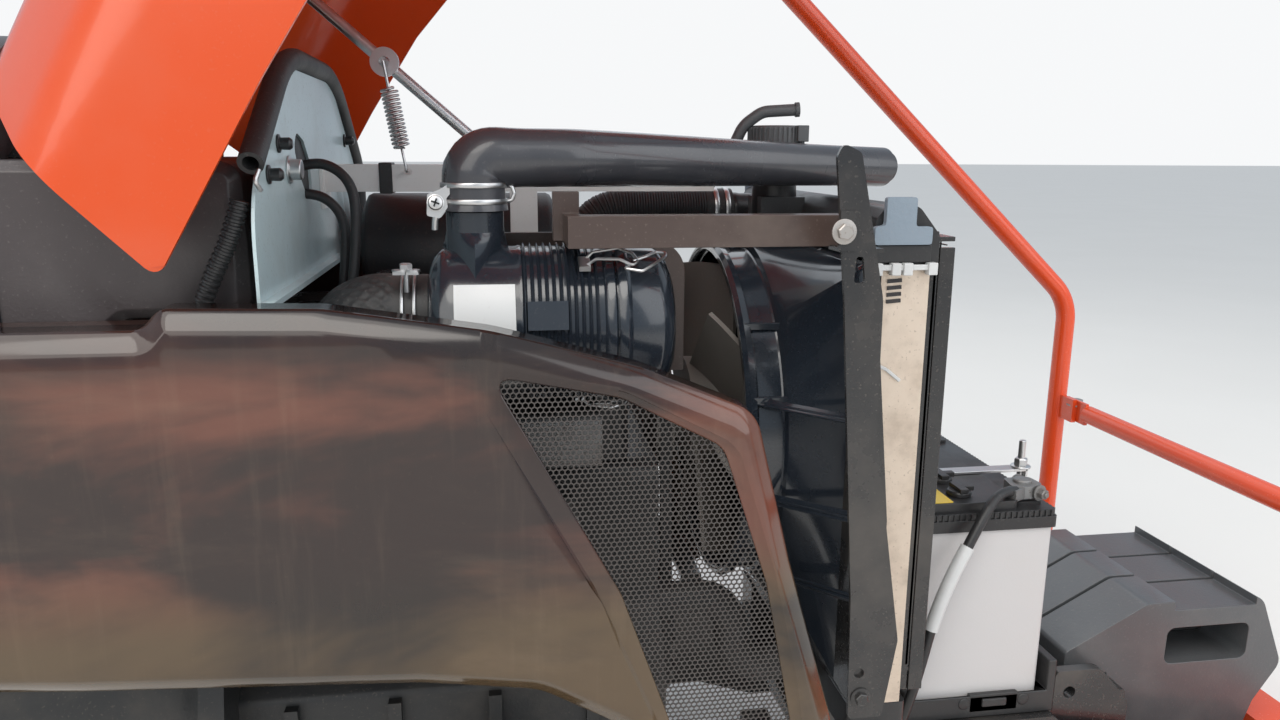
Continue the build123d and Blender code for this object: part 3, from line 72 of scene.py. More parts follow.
def make_camera():
    level = math.cos(CAMERA_PITCH)
    forward = Vector((math.sin(CAMERA_YAW) * level, math.cos(CAMERA_YAW) * level, -math.sin(CAMERA_PITCH)))
    right = forward.cross(UP).normalized()
    down = forward.cross(right)
    across = right * math.cos(CAMERA_ROLL) + down * math.sin(CAMERA_ROLL)
    upward = right * math.sin(CAMERA_ROLL) - down * math.cos(CAMERA_ROLL)
    data = bpy.data.cameras.new("camera")
    data.sensor_width = SENSOR_WIDTH
    data.lens = CAMERA_LENS
    data.clip_start = 0.02
    data.clip_end = 60.0
    camera = add("camera", data)
    turn = Matrix((across, upward, -forward)).transposed().to_4x4()
    camera.matrix_world = Matrix.Translation(CAMERA_AT) @ turn
    bpy.context.scene.camera = camera


make_camera()


# Shader values that Python's operators work on

class Field:
    """A value that changes over a surface."""

    def __init__(self, look, socket):
        self.look = look
        self.socket = socket

    def math(self, operation, second):
        return self.look.node("Math", {"operation": operation}, {0: self, 1: second})

    def __add__(self, other):
        return self.math("ADD", other)

    def __mul__(self, other):
        return self.math("MULTIPLY", other)

    __radd__ = __add__
    __rmul__ = __mul__


class Look:
    """A node material with one main shader."""

    def __init__(self, name, **constants):
        self.material = bpy.data.materials.new(name)
        self.material.use_nodes = True
        self.tree = self.material.node_tree
        self.shader = self.tree.nodes["Principled BSDF"]
        for label, value in constants.items():
            self.set(label.replace("_", " ").title(), value)

    def set(self, label, value):
        socket = self.shader.inputs[label]
        if isinstance(value, Field):
            self.tree.links.new(value.socket, socket)
        elif isinstance(value, (tuple, list)):
            socket.default_value = (*value, 1.0)
        else:
            socket.default_value = value

    def node(self, kind, settings, values, output=0):
        made = self.tree.nodes.new("ShaderNode" + kind)
        for key, value in settings.items():
            setattr(made, key, value)
        for key, value in values.items():
            if isinstance(value, Field):
                self.tree.links.new(value.socket, made.inputs[key])
            elif isinstance(value, (tuple, list)) and made.inputs[key].type == "RGBA":
                made.inputs[key].default_value = (*value, 1.0)
            else:
                made.inputs[key].default_value = value
        return Field(self, made.outputs[output])

    def place(self, scale=(1.0, 1.0, 1.0)):
        """Object coordinates in metres, stretched."""
        here = self.node("TexCoord", {}, {}, "Object")
        return self.node("Mapping", {}, {"Vector": here, "Scale": scale})

    def noise(self, scale, detail=4.0, roughness=0.5, stretch=(1.0, 1.0, 1.0), distortion=0.0):
        values = {"Vector": self.place(stretch), "Scale": scale, "Detail": detail, "Roughness": roughness,
                  "Distortion": distortion}
        return self.node("TexNoise", {}, values)

    def ramp(self, field, low, high, start=0.0, end=1.0):
        """A smooth change from start to end as the field goes from low to high."""
        values = {"Value": field, "From Min": low, "From Max": high, "To Min": start, "To Max": end}
        return self.node("MapRange", {"interpolation_type": "SMOOTHSTEP"}, values)

    def blend(self, factor, first, second):
        return self.node("Mix", {"data_type": "RGBA"}, {0: factor, 6: first, 7: second}, 2)

    def bump(self, height, distance, strength=1.0):
        values = {"Height": height, "Distance": distance, "Strength": strength}
        self.set("Normal", self.node("Bump", {}, values, "Normal"))


def dusty(look, colour, dust, amount, scale=9.0, low=0.45, high=0.75):
    """Colour with patches of dust over it."""
    patches = look.ramp(look.noise(scale, 6.0, 0.62), low, high, 0.0, amount)
    specks = look.ramp(look.noise(420.0, 2.0, 0.5), 0.62, 0.72, 0.0, amount)
    both = patches.math("MAXIMUM", specks)
    look.set("Base Color", look.blend(both, colour, dust))
    return both


def painted(name, colour, roughness, coat, dust=(0.5, 0.42, 0.34), amount=0.1):
    """Sprayed paint with a little peel and dust."""
    look = Look(name, coat_weight=coat, coat_roughness=0.06)
    dirt = dusty(look, colour, dust, amount)
    look.set("Roughness", roughness + 0.6 * dirt)
    look.bump(look.noise(260.0, 2.0), 0.0001, 0.12)
    return look.material


def moulded(name, colour, roughness, grain=0.0, grain_scale=900.0, dust=(0.32, 0.3, 0.28), amount=0.12,
            coat=0.0):
    """Moulded plastic, smooth or grained."""
    look = Look(name, coat_weight=coat, coat_roughness=0.08)
    dirt = dusty(look, colour, dust, amount)
    smears = look.ramp(look.noise(14.0, 5.0, 0.6, (1.0, 1.0, 0.25)), 0.35, 0.7, 0.0, 0.16)
    look.set("Roughness", dirt * 0.5 + smears + roughness)
    if grain:
        look.bump(look.noise(grain_scale, 3.0, 0.6), grain, 0.8)
    return look.material


def metal(name, colour, roughness, brushed=(1.0, 1.0, 1.0), tarnish=(0.25, 0.2, 0.16), amount=0.15):
    """Bare metal with fine marks and some tarnish."""
    look = Look(name, metallic=1.0)
    dirt = dusty(look, colour, tarnish, amount, 30.0)
    marks = look.noise(220.0, 4.0, 0.6, brushed)
    look.set("Roughness", marks * 0.2 + dirt * 0.5 + roughness)
    look.bump(marks, 0.00006, 0.5)
    return look.material


def cast(name, colour, roughness, dust=(0.22, 0.18, 0.14), amount=0.3, grain=0.0004, coat=0.0):
    """Cast iron under paint, with a rough skin."""
    look = Look(name, metallic=0.1, coat_weight=coat, coat_roughness=0.25)
    dirt = dusty(look, colour, dust, amount, 14.0, 0.42, 0.8)
    look.set("Roughness", roughness + 0.6 * dirt)
    look.bump(look.noise(320.0, 4.0, 0.65), grain, 0.6)
    return look.material


def smeared(name, colour, roughness):
    """The side covers' wet black plastic, with wiped streaks, brown patches of painted reflection of the
    yard, and painted shade along the top edge.
    """
    look = Look(name, coat_weight=0.15, coat_roughness=0.06)
    height = look.node("SeparateXYZ", {}, {"Vector": look.place()}, 2)
    # Painted reflection: the mirrored yard is painted golden-brown low on the cover and redder higher up.
    low = look.ramp(height, 0.13, 0.2, 1.0, 0.0)
    wipes = look.ramp(look.noise(4.0, 7.0, 0.66, (1.0, 1.0, 3.0), 0.8), 0.46, 0.8, 0.0, 1.0)
    runs = look.ramp(look.noise(60.0, 5.0, 0.6, (1.0, 1.0, 0.09)), 0.52, 0.74, 0.0, 1.0)
    specks = look.ramp(look.noise(300.0, 2.0, 0.5), 0.66, 0.74, 0.0, 0.5)
    film = wipes * 0.55 + runs * 0.3 + specks * 0.2
    # Painted reflection: patches where the cover mirrors the yard.
    patches = look.ramp(look.noise(4.2, 5.0, 0.55, (0.7, 1.0, 1.9), 0.5), 0.42, 0.6, 0.1, 1.0)
    yard_reflection = look.blend(low, (0.12, 0.045, 0.03), (0.085, 0.056, 0.03))
    # Painted shade: the colour is darker along the top edge, above about 0.3 m, and the smears fade there
    # too.
    edge = look.ramp(height, 0.3, 0.328, 1.0, 0.3)
    base_with_reflection = look.blend(patches * edge, colour, yard_reflection)
    look.set("Base Color", look.blend(film * edge * 0.14, base_with_reflection, (0.42, 0.3, 0.2)))
    look.set("Roughness", roughness + 0.2 * film)
    look.bump(look.noise(26.0, 3.0), 0.0006, 0.12)
    return look.material


LOOKS, SLOTS, LOOK_OF = {}, {}, {}


def dress(maker, name, slot, nodes, colour, roughness, **more):
    """Makes the look for a slot of the record and gives it to its CAD nodes."""
    LOOKS[name] = maker(name, colour, roughness, **more)
    SLOTS[name] = slot
    for node in nodes:
        LOOK_OF[node] = name
        NODES[node].data.materials.clear()
        NODES[node].data.materials.append(LOOKS[name])


dress(painted, "orange_paint", "orange_paint", ["bonnet"], (0.6, 0.066, 0.008), 0.22, coat=0.25, amount=0.03)
dress(painted, "rail_orange", "orange_paint", ["roof_posts", "post_crossbar", "front_beam"],
      (0.72, 0.07, 0.012), 0.24, coat=0.3, amount=0.06)
dress(smeared, "cover_black", "black_gloss", ["side_cover_right", "side_cover_left"],
      (0.013, 0.011, 0.011), 0.1)
# The blue tint in this black base colour is painted sky reflection.
dress(moulded, "gloss_black", "black_gloss", ["air_cleaner", "air_cleaner_cap", "intake_pipe", "fan_shroud"],
      (0.015, 0.02, 0.028), 0.1, amount=0.03, coat=0.5)
dress(moulded, "satin_black", "black_satin",
      ["nose_grille", "battery_lid", "battery_tray", "side_mesh_right", "side_mesh_left", "radiator_tank"],
      (0.018, 0.018, 0.019), 0.3, grain=0.00012, grain_scale=700.0, amount=0.06)
dress(moulded, "grained_black", "black_satin", ["dash_cowl", "fuel_tank"], (0.055, 0.045, 0.046), 0.34,
      grain=0.0003, grain_scale=420.0)
dress(painted, "black_paint", "black_paint",
      ["radiator_baffles", "cover_brackets", "radiator_screen", "hinge_brackets", "crank_pulley",
       "weight_bracket", "rocker_cover", "oil_filter", "front_frame"],
      (0.016, 0.016, 0.017), 0.26, coat=0.25, amount=0.08)
# Black-painted bar; its brown base colour is painted light on its face.
dress(painted, "bar_brown", "black_paint", ["support_bar"], (0.06, 0.04, 0.034), 0.3, coat=0.1)
dress(moulded, "rubber", "rubber", ["bulkhead_seal", "fan_belt", "upper_hose", "lower_hose", "outlet_hose"],
      (0.024, 0.024, 0.025), 0.5, grain=0.0002, grain_scale=500.0, amount=0.16)
dress(moulded, "sheath", "cable_sheath", ["engine_loom", "cable_upper", "cable_lower", "battery_cable"],
      (0.018, 0.018, 0.019), 0.34, amount=0.08)
dress(painted, "bulkhead_grey", "sheet_grey", ["bulkhead"], (0.5, 0.62, 0.64), 0.3, coat=0.2,
      dust=(0.3, 0.27, 0.22), amount=0.3)
dress(painted, "off_white_paint", "bar_white", ["stay_bar"], (0.8, 0.8, 0.78), 0.3, coat=0.3, amount=0.12)
dress(metal, "bright_steel", "bright_steel", ["prop_rod", "stay_spring", "spring_hook", "battery_clamp"],
      (0.62, 0.62, 0.62), 0.24, brushed=(1.0, 1.0, 0.1))
dress(metal, "dull_steel", "bright_steel", [], (0.42, 0.4, 0.38), 0.4, amount=0.35)
dress(moulded, "case_white", "case_white", ["battery_case"], (0.5, 0.49, 0.49), 0.3, grain=0.0001,
      grain_scale=600.0, dust=(0.5, 0.47, 0.42), amount=0.14)
dress(metal, "core_metal", "core_metal", ["radiator_core"], (0.7, 0.6, 0.5), 0.42, amount=0.3)
dress(cast, "casting_grey", "engine_grey", ["oil_pan"], (0.11, 0.11, 0.105), 0.5, dust=(0.2, 0.16, 0.12),
      amount=0.4)
dress(cast, "engine_iron", "engine_grey", ["engine_block", "cylinder_head", "clutch_housing"],
      (0.02, 0.021, 0.022), 0.45, amount=0.2)
dress(cast, "exhaust_iron", "exhaust_iron", ["exhaust_manifold"], (0.1, 0.06, 0.045), 0.7,
      dust=(0.2, 0.1, 0.06), amount=0.5)
dress(metal, "cast_alloy", "cast_aluminium", ["intake_manifold", "alternator", "injection_pump"],
      (0.3, 0.3, 0.3), 0.5, amount=0.5)
dress(cast, "weight_grey", "weight_grey", ["front_weights"], (0.08, 0.085, 0.09), 0.3, dust=(0.3, 0.28, 0.26),
      amount=0.14, grain=0.0003, coat=0.3)
dress(moulded, "lamp_lens", "lamp_lens", ["headlamps"], (0.62, 0.64, 0.66), 0.08, coat=0.6, amount=0.05)
dress(moulded, "mesh_black", "mesh_black", [], (0.05, 0.043, 0.04), 0.3, amount=0.08)
# The slight blue tint in this rubber's base colour is painted sky reflection.
dress(moulded, "rubber_pipe", "black_gloss", [], (0.042, 0.043, 0.05), 0.2, grain=0.0001, grain_scale=500.0,
      amount=0.06, coat=0.4)
dress(moulded, "foam_blue", "rubber", [], (0.2, 0.25, 0.3), 0.7, grain=0.0005, grain_scale=300.0, amount=0.2)
dress(moulded, "cap_grey", "black_satin", [], (0.09, 0.095, 0.1), 0.4, amount=0.2)
dress(moulded, "fan_grey", "fan_plastic", ["fan"], (0.17, 0.155, 0.14), 0.5, amount=0.2)
dress(moulded, "label_white", "case_white", [], (0.56, 0.57, 0.57), 0.28, amount=0.1)
dress(moulded, "label_yellow", "case_white", [], (0.72, 0.5, 0.05), 0.28, amount=0.1)
dress(cast, "muffler_black", "muffler_black", ["muffler"], (0.02, 0.02, 0.022), 0.45, dust=(0.14, 0.1, 0.08),
      amount=0.25)


# Shapes, drawn in millimetres

MM = 0.001


def piece(name, bm, look, body=ROOT, nodes=(), sharp=35.0, soft=None):
    """A bmesh in millimetres becomes a piece that rides on a body, in place of CAD nodes."""
    bmesh.ops.recalc_face_normals(bm, faces=bm.faces)
    bmesh.ops.scale(bm, vec=(MM, MM, MM), verts=bm.verts)
    mesh = bpy.data.meshes.new(name)
    bm.to_mesh(mesh)
    bm.free()
    mesh.shade_smooth()
    mesh.set_sharp_from_angle(angle=math.radians(sharp))
    mesh.materials.append(LOOKS[look])
    made = add(name, mesh)
    if soft:
        bevel = made.modifiers.new("soft", "BEVEL")
        bevel.width = soft * MM
        bevel.segments = 2
        bevel.angle_limit = math.radians(sharp)
        bevel.harden_normals = True
    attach(made, body)
    if nodes:
        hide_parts(*nodes)
    return made


def walled(made, thickness, offset):
    """Gives a skin its wall."""
    wall = made.modifiers.new("wall", "SOLIDIFY")
    wall.thickness = thickness * MM
    wall.offset = offset


def angles(count, start=0.0):
    """Angles spread evenly round a full turn."""
    return [start + 2 * math.pi * k / count for k in range(count)]


def rounded(points, radii, steps=6):
    """Corners of a closed outline turned into arcs."""
    if not isinstance(radii, (list, tuple)):
        radii = [radii] * len(points)
    out = []
    for n, (corner, radius) in enumerate(zip(points, radii)):
        here = Vector(corner)
        before, after = Vector(points[n - 1]) - here, Vector(points[(n + 1) % len(points)]) - here
        half = before.angle(after) / 2
        reach = min(radius / math.tan(half), 0.49 * min(before.length, after.length))
        start, end = before.normalized() * reach, after.normalized() * reach
        for k in range(steps + 1):
            t = k / steps
            out.append(tuple(here + start * (1 - t) ** 2 + end * t ** 2))
    return out


def inset(points, distances):
    """A clockwise outline with each side moved inwards by its own distance."""
    if not isinstance(distances, (list, tuple)):
        distances = [distances] * len(points)
    out = []
    for n, corner in enumerate(points):
        here = Vector(corner)
        one, two = here - Vector(points[n - 1]), Vector(points[(n + 1) % len(points)]) - here
        one, two = Vector((one.y, -one.x)).normalized(), Vector((two.y, -two.x)).normalized()
        first, second = here.dot(one) + distances[n - 1], here.dot(two) + distances[n]
        det = one.x * two.y - one.y * two.x
        if abs(det) < 0.02:
            out.append(tuple(here + one * distances[n]))
        else:
            out.append(((first * two.y - second * one.y) / det, (one.x * second - two.x * first) / det))
    return out


def bent(points, radii, steps=8):
    """An open line in space with its corners turned into arcs."""
    out = [Vector(points[0])]
    for before, corner, after, radius in zip(points, points[1:], points[2:], radii):
        here = Vector(corner)
        to, on = Vector(before) - here, Vector(after) - here
        reach = min(radius / math.tan(to.angle(on) / 2), 0.49 * min(to.length, on.length))
        a, b = here + to.normalized() * reach, here + on.normalized() * reach
        for k in range(steps + 1):
            t = k / steps
            out.append((a.lerp(here, t)).lerp(here.lerp(b, t), t))
    return out + [Vector(points[-1])]


def spaced(points, step):
    """The same line with a point at every step of its length."""
    out, left = [points[0].copy()], step
    for a, b in zip(points, points[1:]):
        run = (b - a).length
        while run >= left:
            a = a.lerp(b, left / run)
            run -= left
            left = step
            out.append(a.copy())
        left -= run
    if (out[-1] - points[-1]).length > step * 0.3:
        out.append(points[-1].copy())
    return out


def skin(bm, rings, close=True, caps=True, loop=False):
    """Joins rings of points, one after another, into a skin."""
    made = [[bm.verts.new(p) for p in ring] for ring in rings]
    pairs = list(zip(made, made[1:]))
    if loop:
        pairs.append((made[-1], made[0]))
    for one, two in pairs:
        count = len(one)
        for k in range(count if close else count - 1):
            n = (k + 1) % count
            bm.faces.new((one[k], one[n], two[n], two[k]))
    if caps and not loop:
        bm.faces.new(list(reversed(made[0])))
        bm.faces.new(made[-1])


def along(bm, line, radius, sides=24, swell=lambda distance, turn: 1.0, flat=1.0):
    """A round skin that follows a line; radius is a number or a function of the distance."""
    rings, distance = [], 0.0
    tangent = (line[1] - line[0]).normalized()
    side = tangent.orthogonal().normalized()
    for n, point in enumerate(line):
        after = (line[min(n + 1, len(line) - 1)] - line[max(n - 1, 0)]).normalized()
        side = (tangent.rotation_difference(after) @ side).normalized()
        side = (side - after * side.dot(after)).normalized()
        tangent = after
        if n:
            distance += (point - line[n - 1]).length
        r = radius(distance) if callable(radius) else radius
        other = tangent.cross(side) * flat
        rings.append([point + (side * math.cos(a) + other * math.sin(a)) * (swell(distance, a) * r)
                      for a in angles(sides)])
    skin(bm, rings)


def wire(bm, points, radii, thick, sides=10):
    """A bent rod or wire."""
    along(bm, bent(points, radii), thick, sides)


def frame_of(axis):
    """An axis and two directions across it."""
    axis = Vector(axis).normalized()
    side = axis.orthogonal().normalized()
    return axis, side, axis.cross(side)


def turned(bm, profile, at, axis, sides=48, loop=False):
    """A turned form: the profile is a list of distance along the axis and radius."""
    axis, side, other = frame_of(axis)
    rings = []
    for distance, radius in profile:
        centre = Vector(at) + axis * distance
        rings.append([centre + (side * math.cos(a) + other * math.sin(a)) * max(radius, 0.01)
                      for a in angles(sides)])
    skin(bm, rings, loop=loop)


def band(bm, at, axis, radius, width, thick=1.0, sides=64):
    """A flat strap round something."""
    a, b = -width / 2, width / 2
    profile = [(a, radius), (b, radius), (b, radius + thick * 0.7), (b - 0.5, radius + thick),
               (a + 0.5, radius + thick), (a, radius + thick * 0.7)]
    turned(bm, profile, at, axis, sides, True)


def hoop(bm, at, axis, radius, thick, sides=48):
    """A ring of wire."""
    section = [(thick * math.cos(a), radius + thick * math.sin(a)) for a in angles(8)]
    turned(bm, section, at, axis, sides, True)


def bolt(bm, at, axis, across, height=None, washer=True):
    """A hexagon head on a washer, with its under side at the given place."""
    height = height or across * 0.42
    corner = across / math.sqrt(3)
    base = 0.0
    if washer:
        base = across * 0.14
        disc = [(0, across * 0.86), (across * 0.12, across * 0.86), (base, across * 0.82)]
        turned(bm, disc, at, axis, 28)
    turned(bm, [(base, corner), (base + height * 0.85, corner), (base + height, corner * 0.84)], at, axis, 6)


def stud(bm, at, axis, across, reach):
    """A nut with the end of its stud standing out of it."""
    bolt(bm, at, axis, across, across * 0.7)
    thread = [(across * 0.5, across * 0.3), (reach - 0.8, across * 0.3), (reach, across * 0.22)]
    turned(bm, thread, at, axis, 16)


def brick(bm, one, two, turn=None, at=None):
    """A block between two opposite corners, turned about a point if asked."""
    low, high = [min(pair) for pair in zip(one, two)], [max(pair) for pair in zip(one, two)]
    corners = [Vector((x, y, z)) for z in (low[2], high[2])
               for x, y in ((low[0], low[1]), (high[0], low[1]), (high[0], high[1]), (low[0], high[1]))]
    if turn:
        centre = Vector(at) if at else (Vector(low) + Vector(high)) / 2
        corners = [turn @ (c - centre) + centre for c in corners]
    verts = [bm.verts.new(c) for c in corners]
    for face in ((3, 2, 1, 0), (4, 5, 6, 7), (0, 1, 5, 4), (1, 2, 6, 5), (2, 3, 7, 6), (3, 0, 4, 7)):
        bm.faces.new([verts[k] for k in face])
    return verts


def bar(bm, start, end, wide, thick, across=(0, 0, 1)):
    """A flat bar between two places, wide along the given direction."""
    start, end = Vector(start), Vector(end)
    run = (end - start).normalized()
    over = (Vector(across) - run * run.dot(Vector(across))).normalized() * wide / 2
    out = run.cross(over).normalized() * thick / 2
    skin(bm, [[p + over + out, p - over + out, p - over - out, p + over - out] for p in (start, end)])


def to_side(side, point):
    """The point on the machine's right, where side is -1, or left."""
    return point[0], side * point[1], point[2]


def lifted(p, at, axis):
    """A flat point's place in space."""
    return {"x": (at, p[0], p[1]), "y": (p[0], at, p[1]), "z": (p[0], p[1], at)}[axis]


def plate(bm, outline, low, high, axis="y", holes=()):
    """A flat outline drawn out between two limits along an axis, with holes through it."""
    flat, edges = [], []
    for loop in (outline, *holes):
        start, count = len(flat), len(loop)
        flat += [Vector(p[:2]) for p in loop]
        edges += [(start + k, start + (k + 1) % count) for k in range(count)]
    points, lines, faces = geometry.delaunay_2d_cdt(flat, edges, [], 0, 1e-4)[:3]
    keep = []
    for face in faces:
        middle = sum((points[k] for k in face), Vector((0, 0))) / len(face)
        if inside(middle, outline) and not any(inside(middle, hole) for hole in holes):
            keep.append(face)
    bottom = [bm.verts.new(lifted(p, low, axis)) for p in points]
    top = [bm.verts.new(lifted(p, high, axis)) for p in points]
    for face in keep:
        bm.faces.new([bottom[k] for k in reversed(face)])
        bm.faces.new([top[k] for k in face])
    sides = [side for face in keep for side in zip(face, [*face[1:], face[0]])]
    known = set(sides)
    for a, b in sides:
        if (b, a) not in known:
            bm.faces.new((bottom[a], bottom[b], top[b], top[a]))
    loose = [v for v in bottom + top if not v.link_faces]
    bmesh.ops.delete(bm, geom=loose, context="VERTS")


def inside(point, outline):
    """Whether a flat point lies in a closed outline."""
    x, z = point[0], point[1]
    result = False
    for (ax, az), (bx, bz) in zip(outline, [*outline[1:], outline[0]]):
        if (az > z) != (bz > z) and x < (bx - ax) * (z - az) / (bz - az) + ax:
            result = not result
    return result


def circle(x, z, radius, sides=24):
    """A flat ring of points."""
    return [(x + radius * math.cos(a), z + radius * math.sin(a)) for a in angles(sides)]


def box_outline(low, high, radius=1.0, steps=4):
    """A rounded rectangle, clockwise."""
    corners = [(low[0], high[1]), (high[0], high[1]), (high[0], low[1]), (low[0], low[1])]
    return rounded(corners, radius, steps)


def smooth(low, high, value):
    """0 below low, 1 above high, smooth between."""
    t = max(0.0, min(1.0, (value - low) / (high - low)))
    return t * t * (3 - 2 * t)


def from_node(name):
    """A bmesh, in millimetres, of a CAD piece where it stands."""
    node = NODES[name]
    bm = bmesh.new()
    bm.from_mesh(node.data)
    bmesh.ops.transform(bm, matrix=node.matrix_world, verts=bm.verts)
    bmesh.ops.scale(bm, vec=(1 / MM, 1 / MM, 1 / MM), verts=bm.verts)
    bmesh.ops.remove_doubles(bm, verts=bm.verts, dist=0.01)
    return bm


def softened(**widths):
    """CAD pieces with their sharp edges rounded off, each by its own width."""
    for node, width in widths.items():
        bm = from_node(node)
        bmesh.ops.dissolve_limit(bm, angle_limit=0.01, verts=bm.verts, edges=bm.edges)
        piece(node + "_soft", bm, LOOK_OF[node], ROOT, (node,), 30, width)


# Cords

ENGINE_LOOM = [
    (286.5, -218, 412), (281, -219, 392), (266, -219, 364), (252, -217, 330), (242, -214, 288),
    (238, -206, 246), (243, -188, 208), (251, -164, 180), (258, -138, 162), (258, -104.5, 162),
]
CABLE_UPPER = [
    (286.6, -62, 428), (303, -62, 434), (320, -64, 430), (332.2, -68, 417.4), (336, -74, 398),
    (334, -82, 358), (327, -87, 318), (321, -90, 290), (321, -90, 262.5),
]
CABLE_LOWER = [
    (284.6, -60, 410), (303, -60, 410), (317.3, -62, 401.8), (325.5, -65, 387.5), (325.5, -69, 365),
    (322, -74, 330), (313, -76, 300), (307, -76, 282), (307, -76, 262.5),
]
BATTERY_CABLE = [
    (896, -104, 148), (878, -112, 152), (858, -126, 142), (840, -134, 116), (822, -138, 84),
    (808, -140, 46), (800, -141, 8), (793, -139, -27), (789, -129, -63),
]


def route_curve(name, points, diameter):
    """A spline through a route's own points, in metres."""
    data = bpy.data.curves.new(name, "CURVE")
    data.dimensions = "3D"
    spline = data.splines.new("NURBS")
    spline.points.add(len(points) - 1)
    for point, place in zip(spline.points, points):
        point.co = (*(value * MM for value in place), 1.0)
    spline.order_u = 3
    spline.use_endpoint_u = True
    data.resolution_u = 12
    data.use_fill_caps = True
    data.bevel_depth = diameter / 2 * MM
    data.bevel_resolution = 4
    return add(name, data)


def route_line(points):
    """The points, in millimetres, that a spline on this route runs through."""
    curve = route_curve("route", points, 0.0)
    mesh = bpy.data.meshes.new_from_object(curve)
    line = [vertex.co / MM for vertex in mesh.vertices]
    data = curve.data
    bpy.data.objects.remove(curve)
    bpy.data.curves.remove(data)
    bpy.data.meshes.remove(mesh)
    return line


def line_length(line):
    """The sum of a line's steps."""
    return sum((b - a).length for a, b in zip(line, line[1:]))


def plain_cord(name, points, diameter, with_pieces=()):
    """A smooth round cable along its route."""
    made = route_curve(name + "_cord", points, diameter)
    made.data.materials.append(LOOKS["sheath"])
    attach(made, ROOT)
    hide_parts(name)
    length = line_length(route_line(points)) * MM


def corrugated_cord(name, points, diameter, pitch):
    """A slit loom with rings along it."""
    line = route_line(points)
    ring = 0.9

    def radius(d):
        return diameter / 2 - ring + ring * smooth(-0.5, 0.5, math.cos(2 * math.pi * d / pitch))

    bm = bmesh.new()
    along(bm, spaced(line, pitch / 6), radius, 20)
    made = piece(name + "_cord", bm, "sheath", nodes=(name,))
    line_length(line) * MM


def cable_sleeve():
    """The pale sleeve with nothing on it, where the battery cable hangs."""
    line = spaced(route_line(BATTERY_CABLE), 1.5)
    part = [p for p in line if 38.0 < p.z < 112.0]
    bm = bmesh.new()
    along(bm, part, 6.0, 24)
    return piece("battery_cable_sleeve", bm, "label_white")


def make_cords():
    corrugated_cord("engine_loom", ENGINE_LOOM, 12, 4.2)
    plain_cord("cable_upper", CABLE_UPPER, 8)
    plain_cord("cable_lower", CABLE_LOWER, 8)
    plain_cord("battery_cable", BATTERY_CABLE, 9, [cable_sleeve()])


make_cords()


# Side covers with their honeycomb mesh

SIDES = ((-1, "right"), (1, "left"))
COVER_CORNERS = [
    (62, 338), (232, 338), (243, 351), (336, 349), (438, 333), (533, 307), (613, 273), (640, 164), (676, 40),
    (690, -56), (596, -56), (548, 6), (520, 46), (464, 79), (384, 91), (172, 103), (62, 112),
]
COVER_RADII = [14, 12, 14, 90, 120, 120, 30, 60, 60, 14, 20, 40, 60, 60, 60, 60, 14]
INNER_BENDS = (1, 11)
MESH_CORNERS = [
    (437, 304), (520, 287), (589, 251), (622, 150), (643, 43), (650, 0), (592, -14), (555, 49), (520, 150),
]
MESH_RADII = [8, 30, 22, 40, 40, 14, 16, 20, 40]
MESH_HOLE = rounded(MESH_CORNERS, MESH_RADII, 6)
MESH_BACK_EDGE = [MESH_CORNERS[k] for k in (0, 8, 7, 6)]
LIP_WIDTH = [6, 6, 9, 9, 8, 6, 10, 14, 14]
LIP_RADII = [radius + 9 for radius in MESH_RADII]
CREASE = [
    (300, 196), (380, 187), (420, 182), (444, 178), (462, 175), (479, 172), (499, 164), (522, 110), (543, 59),
    (556, 22), (566, -40),
]
CREASE_RADII = [40, 60, 60, 60, 60, 12, 40, 40, 20]
CREASE_STEP = Vector((-1.6, -2.4))
FACE_Y = 259.5
VALLEY = 2.5
# How far in from the outline, and how far out from the machine's middle
ROLLED_EDGE = [(0.0, 232.0), (0.7, 249.4), (2.0, 251.6)]
GRID_FROM = Vector((60, -60))
GRID_STEP = 11
GRID_COLUMNS = 58
GRID_ROWS = 38


def inset_loop(distance):
    """The cover's outline, moved inwards."""
    radii = [r + distance if k in INNER_BENDS else max(r - distance, 2.0) for k, r in enumerate(COVER_RADII)]
    return rounded(inset(COVER_CORNERS, distance), radii, 6)


def face_height(point, past_crease=None):
    """How far out the cover's face lies, with a valley beside the mesh that ends in a crease."""
    p = Vector(point[:2])
    gap = 1e9
    for a, b in zip(MESH_BACK_EDGE, MESH_BACK_EDGE[1:]):
        a, run = Vector(a), Vector(b) - Vector(a)
        t = max(0.0, min(1.0, (p - a).dot(run) / run.length_squared))
        gap = min(gap, (p - a - run * t).length)
    from_start = (p - Vector(CREASE[4])).length
    valley = VALLEY * smooth(52, 12, gap) * smooth(-60, 20, p.y) * smooth(4, 60, from_start)
    if past_crease is None:
        past_crease = inside(p, [*CREASE, (300, -60)])
    if past_crease:
        valley *= 1 - smooth(300, 440, p.x)
    if inside(p, [*MESH_BACK_EDGE, (700, -14), (700, 304)]):
        valley = 0.0
    return FACE_Y - valley


